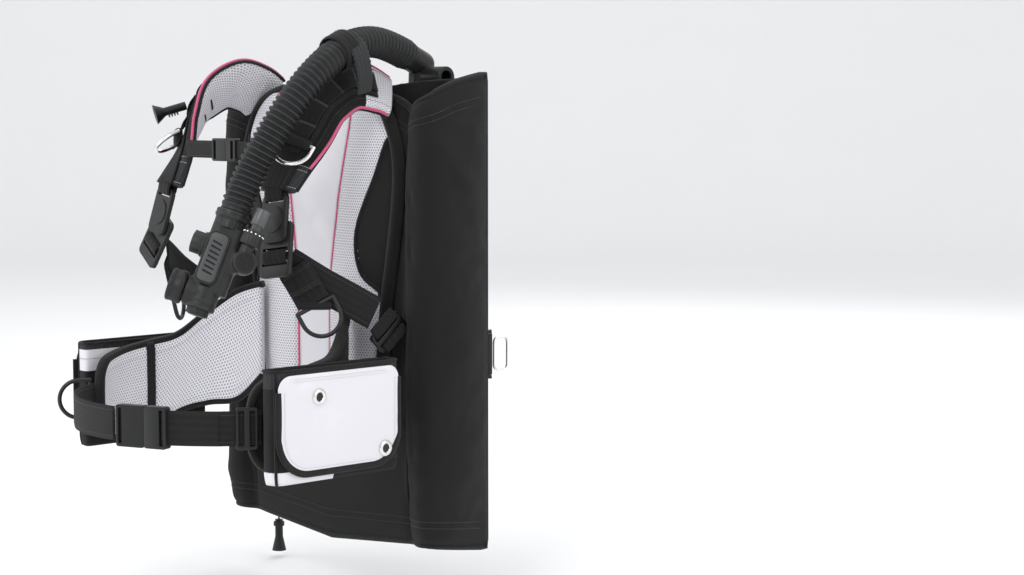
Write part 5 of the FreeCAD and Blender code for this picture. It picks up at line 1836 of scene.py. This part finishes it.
def make_button_caps():
    """Ribbed thumb pads on the two buttons, and the fluted collar with its row of balls."""
    for name, body, place in (
            ("inflate_pad", "inflate_button",
             inflator_place @ Matrix.Translation(mm(31.5, 0, 74)) @ turned((1, 0, 0))),
            ("deflate_pad", "deflate_button",
             inflator_place @ Matrix.Translation(mm(0, 0, -1)) @ turned((0, 0, -1)))):
        lathe(name, ((0.3, 0.9), (7.6, 0.7), (8.2, 0.3), (8.8, 0.7), (9.6, 0.9), (10.2, 0.3)),
              PLASTIC, place, 40, body=body, slot="plastic_black")
    nodes_low, nodes_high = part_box("connector_collar")
    centre = (Vector(nodes_low) + Vector(nodes_high)) / 2
    up = Vector((0.10281, 0.44192, 0.89114)).normalized()
    place = Matrix.Translation(centre) @ Vector((0, 0, 1)).rotation_difference(up).to_matrix().to_4x4()
    lathe("collar_sleeve", ((9.4, -8.0), (11.0, -7.6), (11.5, -6.4), (11.5, 4.6), (10.7, 6.2),
                            (10.7, 7.2), (9.2, 8.0)), PLASTIC, place, 96, 16, 0.8,
          body="connector_collar", slot="metal_dark")
    for k in range(14):
        turn = 2 * math.pi * k / 14
        ball = place @ Matrix.Translation(mm(11.1 * math.cos(turn), 11.1 * math.sin(turn), 5.2))
        profile = [(max(0.02, 1.15 * math.sin(math.pi * s / 6)), -1.15 * math.cos(math.pi * s / 6))
                   for s in range(7)]
        lathe("collar_ball_%02d" % k, profile, SILVER, ball, 10, body="connector_collar",
              slot="metal_dark")


make_button_caps()


# ---------------------------------------------------------------- straps threaded through buckles

def swivel_place(side):
    """The swivel plate's own frame: Y down the strap, Z forward."""
    along = mirror((.16, -.20, -.967), side)
    origin = mirror((105.4, -267.7, 208.6), side)
    return frame_matrix(origin, along, mirror((.099, -.971, .217), side))


def threaded(name, place, path, width, thickness=0.0023, **where):
    """Strap whose middle line is given as (along, out) in a buckle's frame."""
    points = catmull([place @ mm(0, y, z) for y, z in path], 7)
    across = (place.to_3x3() @ Vector((1, 0, 0))).normalized()
    rings = ribbon_rings(points, [across] * len(points), [width / 1000] * len(points), thickness,
                         sides=8)
    return build(name, rings, ring_uvs(rings), [WEBBING], **where)


for side in (1, -1):
    place = swivel_place(side)
    threaded(side_name("swivel_loop", side), place,
             ((-9, -2.2), (-2, -2.4), (4, -2.0), (7.6, 0.4), (7.6, 4.6), (4, 6.9), (-2, 7.4), (-9, 7.0)),
             27, body="vest", slot="webbing")
    ladder = place @ Matrix.Translation(mm(0, 44, -5.4))
    ladder = ladder @ Matrix.Rotation(math.radians(0 if side > 0 else -20), 4, "Z")
    threaded(side_name("ladder_strap", side), ladder,
             ((45, -2.4), (40, -2.0), (35.4, 0.8), (33.4, 4.8), (30, 6.6), (27, 7.0), (23, 6.6),
              (20.6, 4.8), (19.4, 0.8), (15, -2.2), (10.5, -2.6)),
             37, body=side_name("swivel_ladder", side), slot="webbing")
    centre = mirror((149, -154.2, 58), side)
    place = frame_matrix(centre, mirror((0, .70, -.72), side), mirror((.98, -.15, 0), side))
    threaded(side_name("adjuster_strap", side), place,
             ((-10, 4.2), (-2, 4.4), (4, 4.2), (6.4, 0.6), (8, -3.6), (12, -5.0), (16, -3.6),
              (17.6, 0.6), (20, 4.2), (27, 4.6)),
             37, body="vest", slot="webbing")


def knob_ribs(node, axis, body):
    """Raised rings that give a wet glove a grip on a pull knob."""
    low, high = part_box(node)
    centre = (Vector(low) + Vector(high)) / 2
    axis = Vector(axis).normalized()
    for number in range(4):
        place = Matrix.Translation(centre + axis * (number * 3.4 - 11) / 1000) @ turned(axis)
        lathe("%s_rib_%d" % (node, number), ((4.2, -0.9), (5.9, -0.5), (6.1, 0), (5.9, 0.5), (4.2, 0.9)),
              PLASTIC, place, 28, body=body, slot="plastic_black")


knob_ribs("shoulder_pull_knob", (-.45332, -.84508, -.28344), "shoulder_pull")


def make_wire_bail():
    """Bright wire bail that hooks the cam lever's tail."""
    low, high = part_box("cam_lever")
    x = high[0] - 0.004
    y = low[1] + 0.008
    points = []
    for a, b in rounded(30, 40, 7, 0, 0, 6):
        points.append(Vector((x + 0.004 + a * 0.00012, y + 0.012 + a / 1000 * 0.62, b / 1000)))
    loop_tube("cam_bail", points, 0.0016, SILVER, body="cam_lever", slot="plastic_black")


make_wire_bail()


# ---------------------------------------------------------------- hard nodes that stay

HARD = {
    "backplate": (BODY_PLASTIC, 1.2), "backplate_bolts": (STEEL, 0.25),
    "belt_buckle_clip": (PLASTIC_DARK, 0.9), "belt_buckle_socket": (PLASTIC_DARK, 0.9),
    "belt_slider": (PLASTIC_DARK, 0.7), "button_springs": (STEEL, 0.0),
    "cam_buckle": (PLASTIC_DARK, 0.8), "cam_lever": (PLASTIC, 0.8), "cam_pin": (STEEL, 0.2),
    "chest_buckle_clip": (PLASTIC_DARK, 0.7), "chest_buckle_socket": (PLASTIC_DARK, 0.7),
    "connector_collar": (BLACK_METAL, 0.3), "deflate_button": (PLASTIC, 0.8),
    "elbow_valve": (PLASTIC_DARK, 0.6), "hose_connector": (CAP_PLASTIC, 0.4),
    "hose_elbow": (BODY_PLASTIC, 0.5), "inflate_button": (BODY_PLASTIC, 0.8),
    "lower_dump_valve": (PLASTIC, 0.6), "lower_pull_knob": (PLASTIC, 0.4),
    "lower_ring_left": (BLACK_METAL, 0.0), "lower_ring_right": (BLACK_METAL, 0.0),
    "shoulder_pull_knob": (PLASTIC, 0.5), "shoulder_ring_left": (SILVER, 0.0),
    "shoulder_ring_right": (SILVER, 0.0), "side_ladder_left": (PLASTIC_DARK, 0.9),
    "side_ladder_right": (PLASTIC_DARK, 0.9), "swivel_ladder_left": (SWIVEL_PLASTIC, 0.9),
    "swivel_ladder_right": (SWIVEL_PLASTIC, 0.9), "swivel_plate_left": (SWIVEL_PLASTIC, 0.9),
    "swivel_plate_right": (SWIVEL_PLASTIC, 0.9), "waist_ring": (BLACK_METAL, 0.0),
    "air_cell": (PLASTIC, 0.0),
}
for node_name, (hard_material, rounding) in HARD.items():
    dress(node_name, hard_material, rounding)


def make_pull_cord():
    """Braided cord from the dump valve down to its knob: one tube whose radius swells and narrows from ring to
    ring.
    """
    low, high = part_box("pull_cord")
    x, y = (low[0] + high[0]) / 2, (low[1] + high[1]) / 2
    line = [Vector((x, y, high[2] + (low[2] - high[2]) * k / 60)) for k in range(61)]
    cord = tube("pull_cord_braid", line, lambda i: 0.00112 + 0.00013 * math.cos(i * math.pi), WEBBING,
                count=12, body="lower_pull", slot="cord", replaces=("pull_cord",))
    path = [tuple(point) for point in line[::4]]
    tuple(path[0])


make_pull_cord()


# ---------------------------------------------------------------- floor, light and camera

def make_stage():
    floor_z = -0.275
    data = bpy.data.meshes.new("floor")
    verts = []
    faces = []
    profile = [(-9.0, 0.0), (5.2, 0.0)]
    for k in range(1, 11):
        turn = math.radians(9 * k)
        profile.append((5.2 + 1.4 * math.sin(turn), 1.4 * (1 - math.cos(turn))))
    profile.append((6.6, 8.0))
    yaw = math.radians(46.796)
    back = Vector((-math.sin(yaw), math.cos(yaw), 0))
    side = Vector((math.cos(yaw), math.sin(yaw), 0))
    for reach, height in profile:
        for across in (-9, 9):
            point = back * reach + side * across
            verts.append((point.x, point.y, floor_z + height))
    for k in range(len(profile) - 1):
        faces.append((2 * k, 2 * k + 1, 2 * k + 3, 2 * k + 2))
    data.from_pydata(verts, [], faces)
    data.polygons.foreach_set("use_smooth", [True] * len(faces))
    tree = Tree("pale_floor")
    cloud = tree.noise(3.0, 2.0)
    tone = tree.blend(cloud, (0.88, 0.88, 0.885), (0.90, 0.90, 0.90))
    data.materials.append(tree.finish(tone, 0.85))
    floor = add_object("floor", data, body=None)


def add_light(name, place, target, energy, size, color=(1, 1, 1)):
    data = bpy.data.lights.new(name, "AREA")
    data.energy = energy
    data.size = size
    data.color = color
    light = bpy.data.objects.new(name, data)
    bpy.context.scene.collection.objects.link(light)
    light.location = place
    light.rotation_euler = (Vector(target) - Vector(place)).to_track_quat("-Z", "Y").to_euler()


def make_lights():
    centre = (0, -0.2, 0.05)
    add_light("key", (1.1, -3.0, 2.2), centre, 52, 2.0)
    add_light("fill", (3.0, 0.6, 1.2), centre, 24, 2.4)
    add_light("front", (-1.8, -2.4, 1.0), centre, 20, 2.2)
    add_light("top", (0.2, 0.2, 3.2), centre, 20, 2.4)
    add_light("rim", (-1.4, 2.6, 1.8), centre, 22, 2.0)
    world = bpy.data.worlds.new("studio")
    world.use_nodes = True
    world.node_tree.nodes["Background"].inputs[0].default_value = (0.93, 0.94, 0.96, 1)
    world.node_tree.nodes["Background"].inputs[1].default_value = 0.9
    bpy.context.scene.world = world
    bpy.context.scene.view_settings.view_transform = "Standard"


def make_camera():
    yaw = math.radians(46.79593)
    pitch = math.radians(5.05967)
    back = Vector((math.sin(yaw) * math.cos(pitch), -math.cos(yaw) * math.cos(pitch),
                   math.sin(pitch)))
    data = bpy.data.cameras.new("camera")
    data.lens = 76.18359
    data.sensor_width = 36
    data.clip_end = 50
    camera = bpy.data.objects.new("camera", data)
    bpy.context.scene.collection.objects.link(camera)
    camera.location = mm(2033.556, -1722.788, 316.860)
    camera.rotation_euler = back.to_track_quat("Z", "Y").to_euler()
    bpy.context.scene.camera = camera


make_stage()
make_lights()
make_camera()
